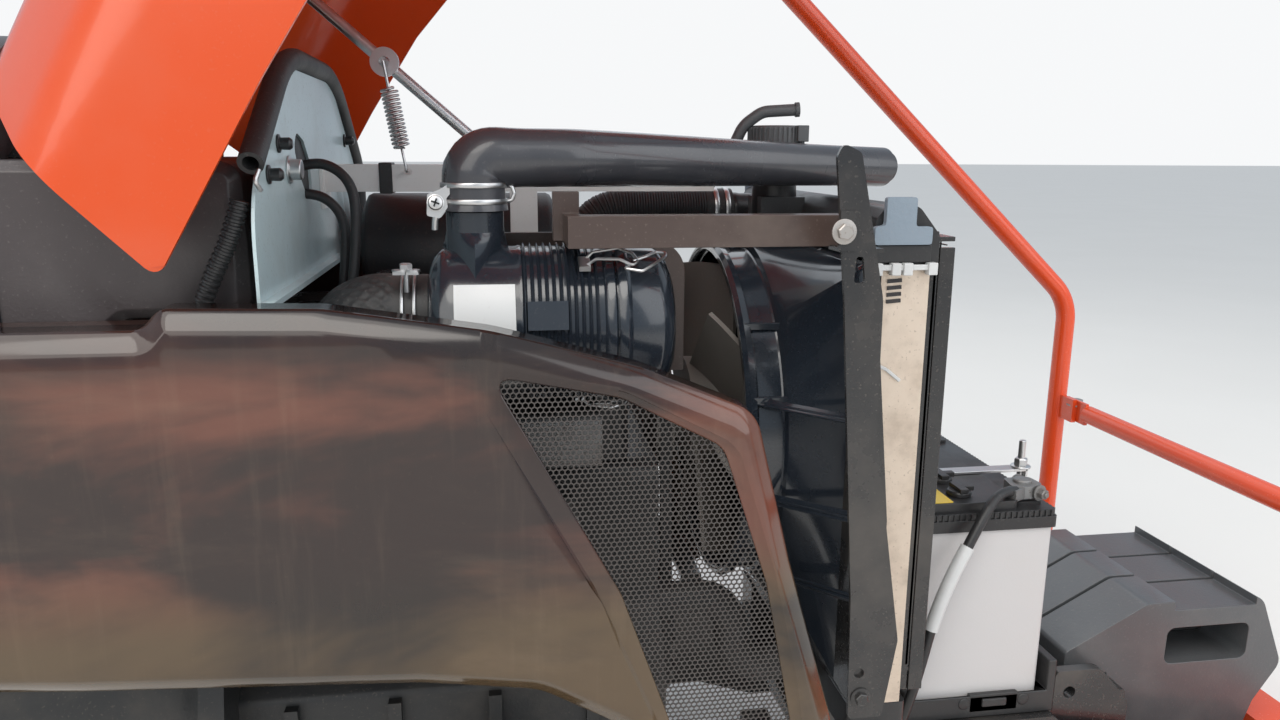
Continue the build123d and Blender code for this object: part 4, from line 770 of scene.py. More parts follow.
def cover_lines():
    """Flat points, the edges that join some of them, and how far out each point lies."""
    flat, edges, depth = [], [], []

    def draw(points, heights, closed=True):
        start, count = len(flat), len(points)
        flat.extend(Vector(p[:2]) for p in points)
        depth.extend(heights(p) if callable(heights) else heights for p in points)
        edges.extend((start + k, start + (k + 1) % count) for k in range(count if closed else count - 1))

    for distance, y in ROLLED_EDGE:
        draw(inset_loop(distance), y)
    draw(inset_loop(12.0), lambda p: face_height(p) - 1.0)
    draw(inset_loop(14.0), face_height)
    draw(MESH_HOLE, 255.0)
    draw(rounded(inset(MESH_CORNERS, -1.2), MESH_RADII, 6), 255.3)
    draw(rounded(inset(MESH_CORNERS, [-w for w in LIP_WIDTH]), LIP_RADII, 6), face_height)
    crease_line = spaced(bent([(x, z, 0) for x, z in CREASE], CREASE_RADII), 6)
    keep_from = inset_loop(15.0)
    crease = [p.to_2d() for p in crease_line if inside(p, keep_from)]
    low = [p + CREASE_STEP for p in crease]
    draw(crease, lambda p: face_height(p, False), False)
    draw([p for p in low if inside(p, keep_from)], lambda p: face_height(p, True), False)
    inner, outer = inset_loop(17.0), rounded(inset(MESH_CORNERS, [-w - 3 for w in LIP_WIDTH]), 20, 6)
    for column in range(GRID_COLUMNS):
        for row in range(GRID_ROWS):
            p = GRID_FROM + GRID_STEP * Vector((column, row))
            if inside(p, inner) and not inside(p, outer) and min((p - q).length for q in crease + low) > 5:
                flat.append(p)
                depth.append(face_height(p))
    return flat, edges, depth


def side_cover(side, name):
    """The lines and points of the cover, joined into a skin with a wall."""
    flat, edges, depth = cover_lines()
    outline = inset_loop(0.0)
    points, lines, faces, origins = geometry.delaunay_2d_cdt(flat, edges, [], 0, 1e-3)[:4]
    bm = bmesh.new()
    verts = []
    for p, origin in zip(points, origins):
        y = depth[origin[0]] if origin else face_height(p)
        verts.append(bm.verts.new((p.x, side * y, p.y)))
    for face in faces:
        middle = sum((points[k] for k in face), Vector((0, 0))) / len(face)
        if inside(middle, outline) and not inside(middle, MESH_HOLE):
            bm.faces.new([verts[k] for k in face])
    bmesh.ops.delete(bm, geom=[v for v in bm.verts if not v.link_faces], context="VERTS")
    made = piece(name + "_shell", bm, "cover_black", nodes=(name,), sharp=28)
    faces_out = sum(f.normal.y * f.area for f in made.data.polygons) * side > 0
    walled(made, 1.2, -1.0 if faces_out else 1.0)


def honeycomb(side, name):
    """Six-sided holes punched through a thin sheet, row beside row."""
    pitch, row_step, hole_r = 3.8, 3.29, 1.72
    first_x, first_z, rows, columns = 430, -22, 100, 63
    front, back = side * 254.2, side * 253.2
    reach = rounded(inset(MESH_CORNERS, -3.5), MESH_RADII, 4)
    centres = []
    for row in range(rows):
        for column in range(columns):
            centre = (first_x + pitch * (column + 0.5 * (row % 2)), first_z + row_step * row)
            if inside(centre, reach):
                centres.append(centre)
    corners, verts, faces = {}, [], []

    def ring(x, z, radius, y):
        """The numbers of a hexagon's six corners, each place kept once."""
        found = []
        for a in (math.pi * (2 * k + 1) / 6 for k in range(6)):
            place_x, place_z = x + radius * math.cos(a), z + radius * math.sin(a)
            key = (round(place_x * 20), round(place_z * 20), y)
            if key not in corners:
                corners[key] = len(verts)
                verts.append((place_x, y, place_z))
            found.append(corners[key])
        return found

    def join(one, two):
        faces.extend((one[k], one[(k + 1) % 6], two[(k + 1) % 6], two[k]) for k in range(6))

    for x, z in centres:
        holes = []
        for y in (front, back):
            holes.append(ring(x, z, hole_r, y))
            join(ring(x, z, pitch / math.sqrt(3), y), holes[-1])
        join(*holes)
    mesh = bpy.data.meshes.new(name)
    mesh.from_pydata(verts, [], faces)
    bm = bmesh.new()
    bm.from_mesh(mesh)
    rim = {}
    for edge in bm.edges:
        if len(edge.link_faces) == 1:
            middle = (edge.verts[0].co + edge.verts[1].co) / 2
            rim.setdefault((round(middle.x * 20), round(middle.z * 20)), []).append(edge)
    for pair in rim.values():
        if len(pair) == 2:
            a, b = pair[0].verts
            c, d = pair[1].verts
            if (a.co - d.co).length < (a.co - c.co).length:
                c, d = d, c
            bm.faces.new((a, b, d, c))
    piece(name + "_honeycomb", bm, "mesh_black", nodes=(name,), sharp=20)


def cover_ledge():
    """The flat top behind the right cover's lower part, up to the tank."""
    bm = bmesh.new()
    plate(bm, [(62, -232.4), (226, -232.4), (226, -207.5), (62, -207.5)], 334, 336.6, "z")
    piece("side_cover_right_ledge", bm, "cover_black", soft=0.8)


cover_ledge()
for side, word in SIDES:
    side_cover(side, "side_cover_" + word)
    honeycomb(side, "side_mesh_" + word)


# Air cleaner, its pipe, clamps and hose

CLEANER_Y, CLEANER_Z, CLEANER_R = -140, 317, 57.6
CLEANER_AT = Vector((0, CLEANER_Y, CLEANER_Z))
PIPE_X = 428
HOSE_Z = 325
FORWARD = (1, 0, 0)


def cleaner_neck(bm):
    """The flared foot between the round inlet and the housing."""
    inlet_r, top, steps = 21, 386, 8
    rings = []
    for k in range(steps + 1):
        t = k / steps
        ring = []
        for a in angles(64):
            diamond_r = max(1 / (abs(math.cos(a)) / 23.5 + abs(math.sin(a)) / 43), 21.2)
            r = inlet_r + (diamond_r - inlet_r) * t
            x, y = PIPE_X + r * math.cos(a), CLEANER_Y + r * math.sin(a)
            low = CLEANER_Z + math.sqrt(max(CLEANER_R ** 2 - (y - CLEANER_Y) ** 2, 0)) - 0.6
            ring.append((x, y, top + (low - top) * t))
        rings.append(ring)
    skin(bm, rings)


def cleaner_body():
    bm = bmesh.new()
    profile = [(394, 0), (394, 40), (396, 47), (399, 52), (404, 56), (411, CLEANER_R), (457, CLEANER_R),
               (458, 58.2), (460, 58.2)]
    for k in range(11):
        x = 460.5 + 5 * k
        profile += [(x, 57.4), (x + 0.9, 59.6), (x + 1.4, 60.2), (x + 2.0, 59.6), (x + 2.9, 57.4)]
    profile += [(517, 57.4), (518, 59.2), (520, 60.2), (524.6, 60.2), (525.6, 59.2), (526, CLEANER_R),
                (538, CLEANER_R), (538, 0)]
    turned(bm, profile, CLEANER_AT, FORWARD, 96)
    lean = Matrix.Rotation(math.radians(-14), 3, "X")
    brick(bm, (463, -199.6, 322), (491, -190, 342), lean, (477, -198, 332))
    turned(bm, [(340, 20.8), (400, 20.8), (401, 19), (401, 0)], (PIPE_X, CLEANER_Y, 0), UP, 48)
    cleaner_neck(bm)
    piece("cleaner_body", bm, "gloss_black", nodes=("air_cleaner",), sharp=40)


def cleaner_cap():
    bm = bmesh.new()
    profile = [(527, CLEANER_R), (527, 60.4), (529, 61.4), (533, 61.4), (535, 60), (536.5, 58), (557, 56.6),
               (560, 55), (566, 49), (570, 40), (572, 26), (572, 0)]
    turned(bm, profile, CLEANER_AT, FORWARD, 96)
    piece("cleaner_cap", bm, "gloss_black", nodes=("air_cleaner_cap",), sharp=30)


def cleaner_bails():
    """Three wire bails, each of two loops and a small block."""
    bm = bmesh.new()
    handle = [(505, -10, 60), (510, -8, 65), (528, -7, 67.5), (538, -12, 66), (542, -18, 63), (537, -22, 62),
              (528, -20, 66), (512, -20, 66.5), (505, -18, 60)]
    catch = [(535, -23, 61.5), (531, -26, 62), (543, -30, 62), (551, -24, 63), (562, -14, 64), (563, -8, 64),
             (556, -8, 64.5), (548, -14, 64.5), (538, -18, 63.5)]
    for turn in (24, 174, 274):
        spin = Matrix.Rotation(math.radians(turn), 3, "X")
        for line in (handle, catch):
            wire(bm, [CLEANER_AT + spin @ Vector(p) for p in line], [4] * 7, 1.15, 8)
        for v in brick(bm, (500, -22, 57.5), (508, -8, 61.5)):
            v.co = CLEANER_AT + spin @ v.co
    piece("cleaner_bails", bm, "bright_steel")


def cleaner_label():
    """A thin blank label bent round the housing."""
    bm = bmesh.new()
    low, high, steps = math.radians(-21), math.radians(38), 14
    turns = [low + (high - low) * k / steps for k in range(steps + 1)]
    rings = [[(x, CLEANER_Y - r * math.cos(a), CLEANER_Z + r * math.sin(a)) for a in turns]
             for x, r in ((413, 57.7), (413, 58.0), (455, 58.0), (455, 57.7))]
    skin(bm, rings, close=False, caps=False, loop=True)
    piece("cleaner_label", bm, "label_white")


def intake_pipe():
    bm = bmesh.new()
    route = [(PIPE_X, CLEANER_Y, 401), (PIPE_X, CLEANER_Y, 438), (500, -128, 438), (800, 0, 430)]
    line = spaced(bent(route, [34, 60], 12), 3.0)
    total = line_length(line)

    def radius(d):
        body = 22.6 - 1.6 * smooth(24, 70, d) - 3.5 * smooth(80, total - 40, d)
        bead = 1.7 * smooth(5, 2, d) + 0.6 * smooth(4.0, 0.0, abs(d - 26))
        tip = 17.5 * (1 - math.sqrt(max(0.0, 1 - smooth(0, 1, (d - total + 7) / 7) ** 2)))
        return max(body + bead - min(tip, 3.4), 2.0)

    along(bm, line, radius, 48)
    heading = (line[-1] - line[-3]).normalized()
    turned(bm, [(-0.5, 14.2), (0.3, 14.0), (0.3, 0)], line[-1], heading, 32)
    piece("intake_pipe_rubber", bm, "rubber_pipe", nodes=("intake_pipe",), sharp=40)


def pipe_clamps():
    bm = bmesh.new()
    for z in (407.5, 419):
        band(bm, (PIPE_X, CLEANER_Y, z), UP, 23.0, 3.6, 1.0)
    ear = [(450.5, -142, 407.5), (455, -143, 408), (457, -143, 413), (455, -143, 418.6), (450.5, -142, 419)]
    wire(bm, ear, [3, 3, 3], 1.5)
    tab = [(396, 413), (404, 416), (413, 421), (415, 417), (409, 410), (410, 404), (404, 396), (395, 398)]
    tab = rounded(tab, 2, 3)
    plate(bm, tab, -155.5, -154)
    plate(bm, [(x + 0.5, z) for x, z in tab], -150, -148.5)
    button = [(-1, 6), (0.6, 6), (0.8, 5.4), (2.8, 4.6), (3.4, 3), (3.4, 0)]
    turned(bm, button, (401.5, -156.6, 407), (0.1, -1, 0.15), 24)
    wire(bm, [(401.5, -156, 407), (400, -146, 405)], [], 2.2)
    wire(bm, [(402, -153, 400), (400.5, -152, 394), (400, -151, 388)], [6], 2.3)
    piece("pipe_clamp_straps", bm, "bright_steel")
    bm = bmesh.new()
    for turn in (20, 110):
        spin = Matrix.Rotation(math.radians(turn), 3, "Y")
        brick(bm, (398.6, -160.5, 406.9), (404.6, -159.9, 408.1), spin)
    piece("clamp_screw_cross", bm, "muffler_black")


def outlet_hose():
    bm = bmesh.new()
    route = [(393.7, CLEANER_Y, HOSE_Z), (333.5, CLEANER_Y, HOSE_Z), (333.5, CLEANER_Y, 246.3)]
    line = spaced(bent(route, [33], 14), 1.6)

    def lattice(d, a):
        one, two = math.cos(20 * a + d * 0.8), math.cos(20 * a - d * 0.8)
        ridge = max(smooth(0.35, 0.95, one), smooth(0.35, 0.95, two)) * smooth(24, 28, d)
        return 0.96 + 0.04 * ridge

    along(bm, line, 31.0, 128, lattice)
    piece("outlet_hose_rubber", bm, "rubber", nodes=("outlet_hose",), sharp=60)


def hose_clamp():
    """Two wires round the hose, each with its lug, and one bolt between them."""
    bm = bmesh.new()
    for x in (376, 384.5):
        hoop(bm, (x, CLEANER_Y, HOSE_Z), FORWARD, 31.6, 1.3, 72)
        brick(bm, (x - 4.5, -174, 358.6), (x + 4.5, -164, 360.6))
        turned(bm, [(0, 5.4), (1.2, 5.4), (1.4, 0)], (x, -169, 360.6), UP, 20)
    bolt(bm, (380.2, -169, 361.8), UP, 8.0, 4.4, False)
    turned(bm, [(346, 1.9), (362, 1.9)], (380.2, -169, 0), UP, 12)
    piece("hose_clamp", bm, "bright_steel")


cleaner_body()
cleaner_cap()
cleaner_bails()
cleaner_label()
intake_pipe()
pipe_clamps()
outlet_hose()
hose_clamp()


# Shroud, baffles, radiator and screen

FAN_Z = 208
SHROUD_R = 154
SHROUD_X, FLANGE_X = 669, 714
CORE_HALF = 187
SHEET_Y = 231.4


def fan_shroud():
    """A ring that widens into a rectangle, with flat facets between its four corners."""
    bm = bmesh.new()
    corner = math.radians(42)
    half, low, high = 188, 12, 362
    full, wide = 2 * math.pi, math.pi - 2 * corner
    turns = angles(192, corner)
    edges = ((0, wide, (half, high), (-half, high)), (wide, math.pi, (-half, high), (-half, low)),
             (math.pi, full - 2 * corner, (-half, low), (half, low)),
             (full - 2 * corner, full, (half, low), (half, high)))

    def on_box(a):
        """The place on the rectangle that a turn of the ring leads to."""
        a = (a - corner) % full
        for start, end, one, two in edges:
            if a < end + 1e-9:
                t = (a - start) / (end - start)
                return one[0] + (two[0] - one[0]) * t, one[1] + (two[1] - one[1]) * t
        return half, high

    rings = []
    for x, r in ((636, 148), (636, 152), (637.5, 153.2), (640, 152.6), (641.5, 149.5), (643, 147.5),
                 (664, 147.5), (667, 149), (SHROUD_X, SHROUD_R)):
        rings.append([(x, r * math.cos(a), FAN_Z + r * math.sin(a)) for a in turns])
    for t in (0.12, 0.3, 0.5, 0.7, 0.88, 1.0):
        ring = []
        for a in turns:
            ring_y, ring_z = SHROUD_R * math.cos(a), FAN_Z + SHROUD_R * math.sin(a)
            box_y, box_z = on_box(a)
            ring.append((SHROUD_X + (FLANGE_X - SHROUD_X) * t, ring_y * (1 - t) + box_y * t,
                         ring_z * (1 - t) + box_z * t))
        rings.append(ring)
    skin(bm, rings, caps=False)
    made = piece("fan_shroud_shell", bm, "gloss_black", nodes=("fan_shroud",), sharp=14)
    walled(made, 3.0, -1.0)
    bm = bmesh.new()
    hole = box_outline((-176, 22), (176, 358), 24, 8)
    plate(bm, box_outline((-190, 5), (190, 366), 3), FLANGE_X, 719.6, "x", [hole])
    for y in (-183, 183):
        for z in (60, 186, 310):
            bolt(bm, (FLANGE_X, y, z), (-1, 0, 0), 10)
    piece("fan_shroud_flange", bm, "gloss_black", soft=0.8)


def baffles():
    """The upright sheets beside the radiator, and the thin straps that tie the shroud's ring to them."""
    strip = [(667, 440), (671, 449), (684, 443), (705, 344), (706, 251), (733, 85), (724, 22), (697, 22),
             (694, 120), (677, 344)]
    outline = rounded(strip, [6, 5, 6, 50, 60, 12, 4, 4, 60, 60], 5)
    slot = rounded([(684, 374), (689, 374), (691, 356), (683, 356)], 2.4, 4)
    web = rounded([(700, 30), (700, 336), (703, 336), (719.5, 180), (719.5, 30)], 2, 2)
    straps = [((641, 138, 250), (698, 228, 256)), ((654, 147, 170), (701, 228, 182)),
              ((668, 150, 102), (697, 228, 120))]
    ridges = [((671, 70, 346), (712, 84, 364)), ((671, 112, 322), (712, 136, 362)),
              ((671, 30, 356), (712, 34, 366))]
    for side, word in SIDES:
        bm = bmesh.new()
        plate(bm, outline, side * 228.2, side * SHEET_Y, "y", [slot, circle(704, 60, 4, 16)])
        plate(bm, web, side * 191, side * 228.6, "y")
        brick(bm, (676, side * 198, 376), (704, side * 229, 379))
        brick(bm, (671, side * 229, 378), (683, side * 232.6, 405))
        bolt(bm, (706, side * SHEET_Y, 40), (0, side, 0), 9)
        piece("radiator_baffle_" + word, bm, "black_paint", nodes=("radiator_baffles",), soft=0.7)
        bm = bmesh.new()
        for start, end in straps:
            start, end = to_side(side, start), to_side(side, end)
            bar(bm, start, end, 9, 2.2, (0.5, side, 0))
            bar(bm, start, end, 2.2, 5)
        for z in (306, 252):
            y = side * math.sqrt(153 ** 2 - (z - FAN_Z) ** 2)
            bar(bm, (637, y, z), (668, y, z), 6, 4)
        for start, end in ridges:
            bar(bm, to_side(side, start), to_side(side, end), 3, 3)
        piece("shroud_straps_" + word, bm, "gloss_black", soft=0.8)


def radiator_core():
    """Side plates, upright tubes and thin fins."""
    tubes, tube_pitch, fins, fin_pitch = 44, 8.44, 118, 3.0
    bm = bmesh.new()
    for side in (-1, 1):
        brick(bm, (720.4, side * CORE_HALF, 5.4), (757.6, side * 190, 360.6))
        for x in (720.4, 755.6):
            brick(bm, (x, side * 176, 5.4), (x + 2, side * 188, 360.6))
    for k in range(tubes):
        y = -181.5 + tube_pitch * k
        brick(bm, (724, y - 1.1, 6), (754, y + 1.1, 360))
    for k in range(fins):
        z = 8 + fin_pitch * k
        brick(bm, (722.5, -CORE_HALF, z), (755.5, CORE_HALF, z + 0.5))
    piece("radiator_core_fins", bm, "core_metal", nodes=("radiator_core",), sharp=20)


def radiator_trim():
    """Vents, foam pads, side strips and the pale clip."""
    bm = bmesh.new()
    for side in (-1, 1):
        for k in range(4):
            z = 336 + 5.0 * k
            bar(bm, (725, side * 190.3, z), (736, side * 190.3, z + 0.8), 2.8, 1.2)
        for r, x, z in ((3.4, 719, 263), (2.4, 721, 240)):
            turned(bm, [(-1, r), (0.5, r), (0.5, 0)], (x, side * 190.2, z), (0, side, 0), 20)
    piece("radiator_side_vents", bm, "muffler_black")
    bm = bmesh.new()
    pad = [(711, 391), (719, 392), (719, 412), (742, 412), (742, 391), (755, 391), (755, 378), (711, 378)]
    plate(bm, rounded(pad, 2.5, 3), -196, -190.4, "y")
    plate(bm, rounded(pad, 2.5, 3), 190.4, 196, "y")
    piece("radiator_foam_pads", bm, "foam_blue", soft=1.2)
    bm = bmesh.new()
    for side in (-1, 1):
        brick(bm, (712, side * 190.4, 365), (756, side * 194, 377.8))
    piece("radiator_side_strip", bm, "satin_black", soft=1.0)
    bm = bmesh.new()
    brick(bm, (711, -196, 359.5), (760, -190.4, 363.5))
    for x in (711, 725, 734, 753):
        brick(bm, (x, -198, 356), (x + 7, -190.4, 365))
    bar(bm, (717, -191.8, 290), (728, -191.8, 285), 2.6, 1.2)
    bar(bm, (728, -191.8, 285), (739, -191.8, 276), 2.6, 1.2)
    piece("radiator_clip", bm, "label_white", soft=1.0)


def radiator_tanks():
    """The top tank with its filler and hose stub, and the bottom one."""
    bm = bmesh.new()
    top = [(714, 361.2), (714, 396), (722, 406), (746, 406), (764, 384), (764, 361.2)]
    plate(bm, rounded(top, [1, 8, 8, 12, 8, 1], 5), -189.5, 189.5)
    brick(bm, (676, -22, 380), (716, 22, 404))
    turned(bm, [(380, 21), (430, 19), (434, 20.5), (452, 20.5)], (694, 0, 0), UP, 40)
    turned(bm, [(0, 15.5), (40, 15.5), (44, 16.2), (47, 16.2), (49, 15)], (721, 76, 388), (-1, 0, 0), 32)
    piece("radiator_top_tank", bm, "satin_black", nodes=("radiator_tank",), soft=2.4)
    bm = bmesh.new()
    plate(bm, box_outline((714, -190), (764, 190), 6), -25, 4.8, "z")
    turned(bm, [(0, 11), (14, 11), (16, 12)], (716, -92, -10), (-1, 0, 0), 24)
    piece("radiator_bottom_tank", bm, "satin_black", soft=2.0)


def radiator_cap():
    """The ribbed cap with its tab."""
    ribs = 36
    bm = bmesh.new()
    turned(bm, [(446, 24.6), (449, 25), (464, 24), (466, 22), (466, 0)], (694, 0, 0), UP, 48)
    for k in range(ribs):
        spin = Matrix.Rotation(math.radians(360 / ribs * k), 3, "Z")
        brick(bm, (717.5, -1.1, 449), (719.6, 1.1, 464.4), spin, (694, 0, 456.7))
    brick(bm, (706, -26.5, 452), (716, -19, 466))
    piece("radiator_cap", bm, "cap_grey", soft=0.6)


def overflow_tube():
    """The tube that leaves beside the cap, with its open end."""
    bm = bmesh.new()
    line = spaced(bent([(651, 6, 436), (664, 2, 466), (680, -2, 478), (712, -6, 480)], [26, 20], 8), 2.0)
    along(bm, line, 5.2, 20)
    turned(bm, [(-3, 6.4), (0.6, 6.4), (0.6, 4.6), (-2, 4.2)], line[-1], line[-1] - line[-2], 24)
    piece("overflow_tube", bm, "cap_grey")


def screen():
    """The frame in front of the radiator, on its feet, with fine crossed wires."""
    columns, column_pitch, rows, row_pitch = 71, 4.77, 73, 4.8
    bm = bmesh.new()
    hole = box_outline((-166, 37), (166, 370), 4)
    plate(bm, box_outline((-178, 25), (178, 382), 6), 766, 770, "x", [hole])
    for side in (-1, 1):
        brick(bm, (762, side * 174.5, 8), (769, side * 178, 386))
        brick(bm, (770, side * 175.5, 8), (782, side * 179, 374))
        brick(bm, (768, side * 84, -62.7), (771, side * 108, 30))
        brick(bm, (768, side * 84, -62.7), (790, side * 108, -60))
    brick(bm, (768, -178, 378.5), (782, 178, 382))
    brick(bm, (768, -178, 25), (782, 178, 28.5))
    piece("screen_frame", bm, "black_paint", nodes=("radiator_screen",), soft=0.8)
    bm = bmesh.new()
    for k in range(columns):
        y = -167 + column_pitch * k
        bar(bm, (776, y, 28), (776, y, 379), 0.9, 0.9, (0, 1, 0))
    for k in range(rows):
        z = 30 + row_pitch * k
        bar(bm, (777, -175, z), (777, 175, z), 0.9, 0.9)
    piece("screen_wires", bm, "black_paint")


fan_shroud()
baffles()
radiator_core()
radiator_trim()
radiator_tanks()
radiator_cap()
overflow_tube()
screen()


# Battery

POST_YS = (-92, 92)


def battery_case():
    """The pale case on its foot."""
    bm = bmesh.new()
    plate(bm, box_outline((801.5, -117.5), (927.5, 117.5), 5), -52, 118, "z")
    plate(bm, box_outline((800, -119), (929, 119), 5), -60, -50, "z")
    piece("battery_case_body", bm, "case_white", nodes=("battery_case",), soft=1.6)


def battery_lid():
    """The lid with slots round its rim, its raised top, and six vent caps."""
    bm = bmesh.new()
    plate(bm, box_outline((799, -120), (930, 120), 5), 118.3, 129, "z")
    plate(bm, box_outline((800.5, -118.5), (928.5, 118.5), 5), 129, 135, "z")
    for k in range(23):
        x = 804 + 5.4 * k
        for y in (-119.6, 119.6):
            brick(bm, (x, y, 119), (x + 2.2, y * 0.985, 134.5))
    for k in range(42):
        y = -114 + 5.5 * k
        brick(bm, (927.5, y, 119), (930.0, y + 2.2, 134.5))
    plate(bm, box_outline((806, -114), (895, 114), 6), 134, 143, "z")
    for y in POST_YS:
        plate(bm, box_outline((897, y - 14), (922, y + 14), 4), 134, 138, "z")
    piece("battery_lid_top", bm, "satin_black", nodes=("battery_lid",), soft=0.7)
    bm = bmesh.new()
    for k in range(6):
        y = -92 + 36.8 * k
        turned(bm, [(143, 11), (146.5, 11), (148, 9.5), (148, 0)], (848, y, 0), UP, 28)
        brick(bm, (844, y - 11, 147), (852, y + 11, 151.5))
        brick(bm, (851, y - 3.4, 147), (861, y + 3.4, 151.5))
    piece("battery_caps", bm, "satin_black", soft=0.8)


def battery_fittings():
    """The posts with one clamp, and the strap over the case with its two rods."""
    bm = bmesh.new()
    for y in POST_YS:
        turned(bm, [(136, 9.2), (154, 8.2), (155, 7.2), (155, 0)], (909, y, 0), UP, 28)
    outline = rounded([(893, -104), (897, -80), (922, -80), (924, -100), (912, -106)], 5)
    plate(bm, outline, 140.5, 152, "z")
    brick(bm, (888, -110, 141), (902, -98, 151), Matrix.Rotation(0.5, 3, "Z"))
    stud(bm, (918, -106, 146), (0.3, -1, 0), 8.5, 9)
    bolt(bm, (914, -76, 146), (-0.2, 1, 0), 8.5)
    piece("terminal_clamp", bm, "cast_alloy", soft=1.2)
    bm = bmesh.new()
    strap_y, foot_z = -37, -56
    brick(bm, (800, -44, 143.4), (944, -30, 146.0))
    brick(bm, (941.5, -44, 128), (944, -30, 146.0))
    for x, top, reach in ((940, 172.5, 27), (797.5, 150, 14)):
        stud(bm, (x, strap_y, 146), UP, 11, reach)
        wire(bm, [(x, strap_y, top), (x, strap_y, foot_z)], [], 3.0, 12)
    piece("battery_strap", bm, "bright_steel", nodes=("battery_clamp",), soft=0.6)


def battery_clip():
    """The clip at the case's foot with its bright wings."""
    middle = 882
    bm = bmesh.new()
    brick(bm, (858, -124, -58), (906, -118.6, -40))
    brick(bm, (870, -126, -52), (894, -122, -44))
    for x in (853, 911):
        turned(bm, [(0, 6), (2.4, 6), (3, 4.6), (3, 0)], (x, -122, -48), (0, -1, 0), 20)
    piece("battery_clip", bm, "satin_black", soft=1.2)
    bm = bmesh.new()
    for end in (-1, 1):
        x = middle + 26 * end
        brick(bm, (x - 9, -122.6, -54), (x + 9, -120.4, -45), Matrix.Rotation(0.35 * end, 3, "Y"))
    piece("battery_clip_wings", bm, "bright_steel", soft=0.6)


def battery_label():
    """A blank label on the lid."""
    bm = bmesh.new()
    plate(bm, box_outline((809, -111), (834, -60), 1.5), 142.8, 143.5, "z")
    piece("battery_label", bm, "label_yellow")


battery_case()
battery_lid()
battery_fittings()
battery_clip()
battery_label()
softened(battery_tray=1.5)


# Weights, beam and roof posts

softened(front_weights=2.2, weight_bracket=1.5, front_beam=2.5, front_frame=1.4, cover_brackets=0.8,
         post_crossbar=0.8)


def crossbar_bolts():
    bm = bmesh.new()
    for side in (-1, 1):
        bolt(bm, (1236, side * 318, 101), UP, 15)
        bolt(bm, (674, side * 231.6, 391), (0, side, 0), 10)
    piece("crossbar_bolts", bm, "dull_steel")


crossbar_bolts()


# Bulkhead, stays, tank and hose

BULKHEAD_HALF, BULKHEAD_FOOT, BULKHEAD_X = 228, 345, 296.4


def bulkhead():
    """The pale sheet with its two ribs and foot, and the grommet in its slot."""
    bm = bmesh.new()
    half, back = BULKHEAD_HALF, 294.2
    arch = [(-half, BULKHEAD_FOOT), (-half, 416), (-half * 0.42, 502), (half * 0.42, 502), (half, 416),
            (half, BULKHEAD_FOOT)]
    slot = [(-80, 456), (-55, 450), (-35, 434), (-33, 408), (-52, 404), (-78, 424), (-93, 445)]
    slot = rounded(slot, 12, 4)
    plate(bm, rounded(arch, [4, 66, 86, 86, 66, 4], 8), back, BULKHEAD_X, "x", [slot])

    def rib(d):
        return 7 * smooth(84, 40, d) + 0.2

    for y in (92, 128):
        along(bm, [Vector((296, y, z)) for z in range(348, 420, 8)], rib, 16, flat=0.35)
    foot = [(-227, BULKHEAD_FOOT), (227, BULKHEAD_FOOT), (227, 349), (-227, 349)]
    plate(bm, foot, back, 304, "x")
    piece("bulkhead_plate", bm, "bulkhead_grey", nodes=("bulkhead",), soft=0.6)
    bm = bmesh.new()
    around = [(-62 + 1.16 * (y + 62), 430 + 1.16 * (z - 430)) for y, z in slot]
    plate(bm, around, 290.5, 294, "x", [circle(-62, 428, 4.4), circle(-60, 410, 4.4)])
    piece("bulkhead_grommet", bm, "rubber", soft=0.6)


def bulkhead_fittings():
    """Push-in clips, the large nut and the wire hook at the sheet's edge."""
    bm = bmesh.new()
    clip = [(0, 6.5), (1.4, 6.5), (2.0, 4.2), (8, 4.4), (10, 2.6), (10, 0)]
    for y, z in ((-146, 447), (-182, 427), (150, 452)):
        turned(bm, clip, (BULKHEAD_X, y, z), FORWARD, 12)
    piece("bulkhead_clips", bm, "satin_black", soft=0.4)
    bm = bmesh.new()
    nut = [(0, 10), (1.6, 10), (1.8, 7.4), (9, 7.4), (9.6, 6.6), (9.6, 0)]
    turned(bm, nut, (BULKHEAD_X, -117, 429), FORWARD, 32)
    wire(bm, [(300, -220, 431), (298, -224, 424), (300, -219, 418)], [3], 1.6)
    piece("bulkhead_nuts", bm, "bright_steel", soft=0.4)


def upper_hose():
    """The radiator's top hose, finely ribbed between its two smooth ends, and its bands."""
    hose_y, hose_z, hose_r, drop_x = 76, 388, 20, 526
    route = [(671.7, hose_y, hose_z), (drop_x, hose_y, hose_z), (drop_x, hose_y, 296.3)]
    line = spaced(bent(route, [46], 14), 0.65)
    bm = bmesh.new()

    def radius(d):
        ribbed = smooth(24, 28, d) * smooth(226, 222, d)
        return hose_r - 0.8 * ribbed * smooth(0.4, -0.4, math.cos(2 * math.pi * d / 2.6))

    along(bm, line, radius, 40)
    piece("upper_hose_rubber", bm, "rubber", nodes=("upper_hose",), sharp=60)
    bm = bmesh.new()
    for x in (655, 666):
        band(bm, (x, hose_y, hose_z), FORWARD, hose_r + 0.2, 4.5, 0.9)
    band(bm, (drop_x, hose_y, 304), UP, hose_r + 0.2, 8, 0.9)
    piece("upper_hose_bands", bm, "bright_steel")


def tank_rib():
    """The pair of raised lines on the tank's side."""
    bm = bmesh.new()
    for x in (128, 133):
        along(bm, [Vector((x, -205.4, z)) for z in (250, 340, 415)], 2.4, 12)
    piece("tank_rib", bm, "gloss_black")


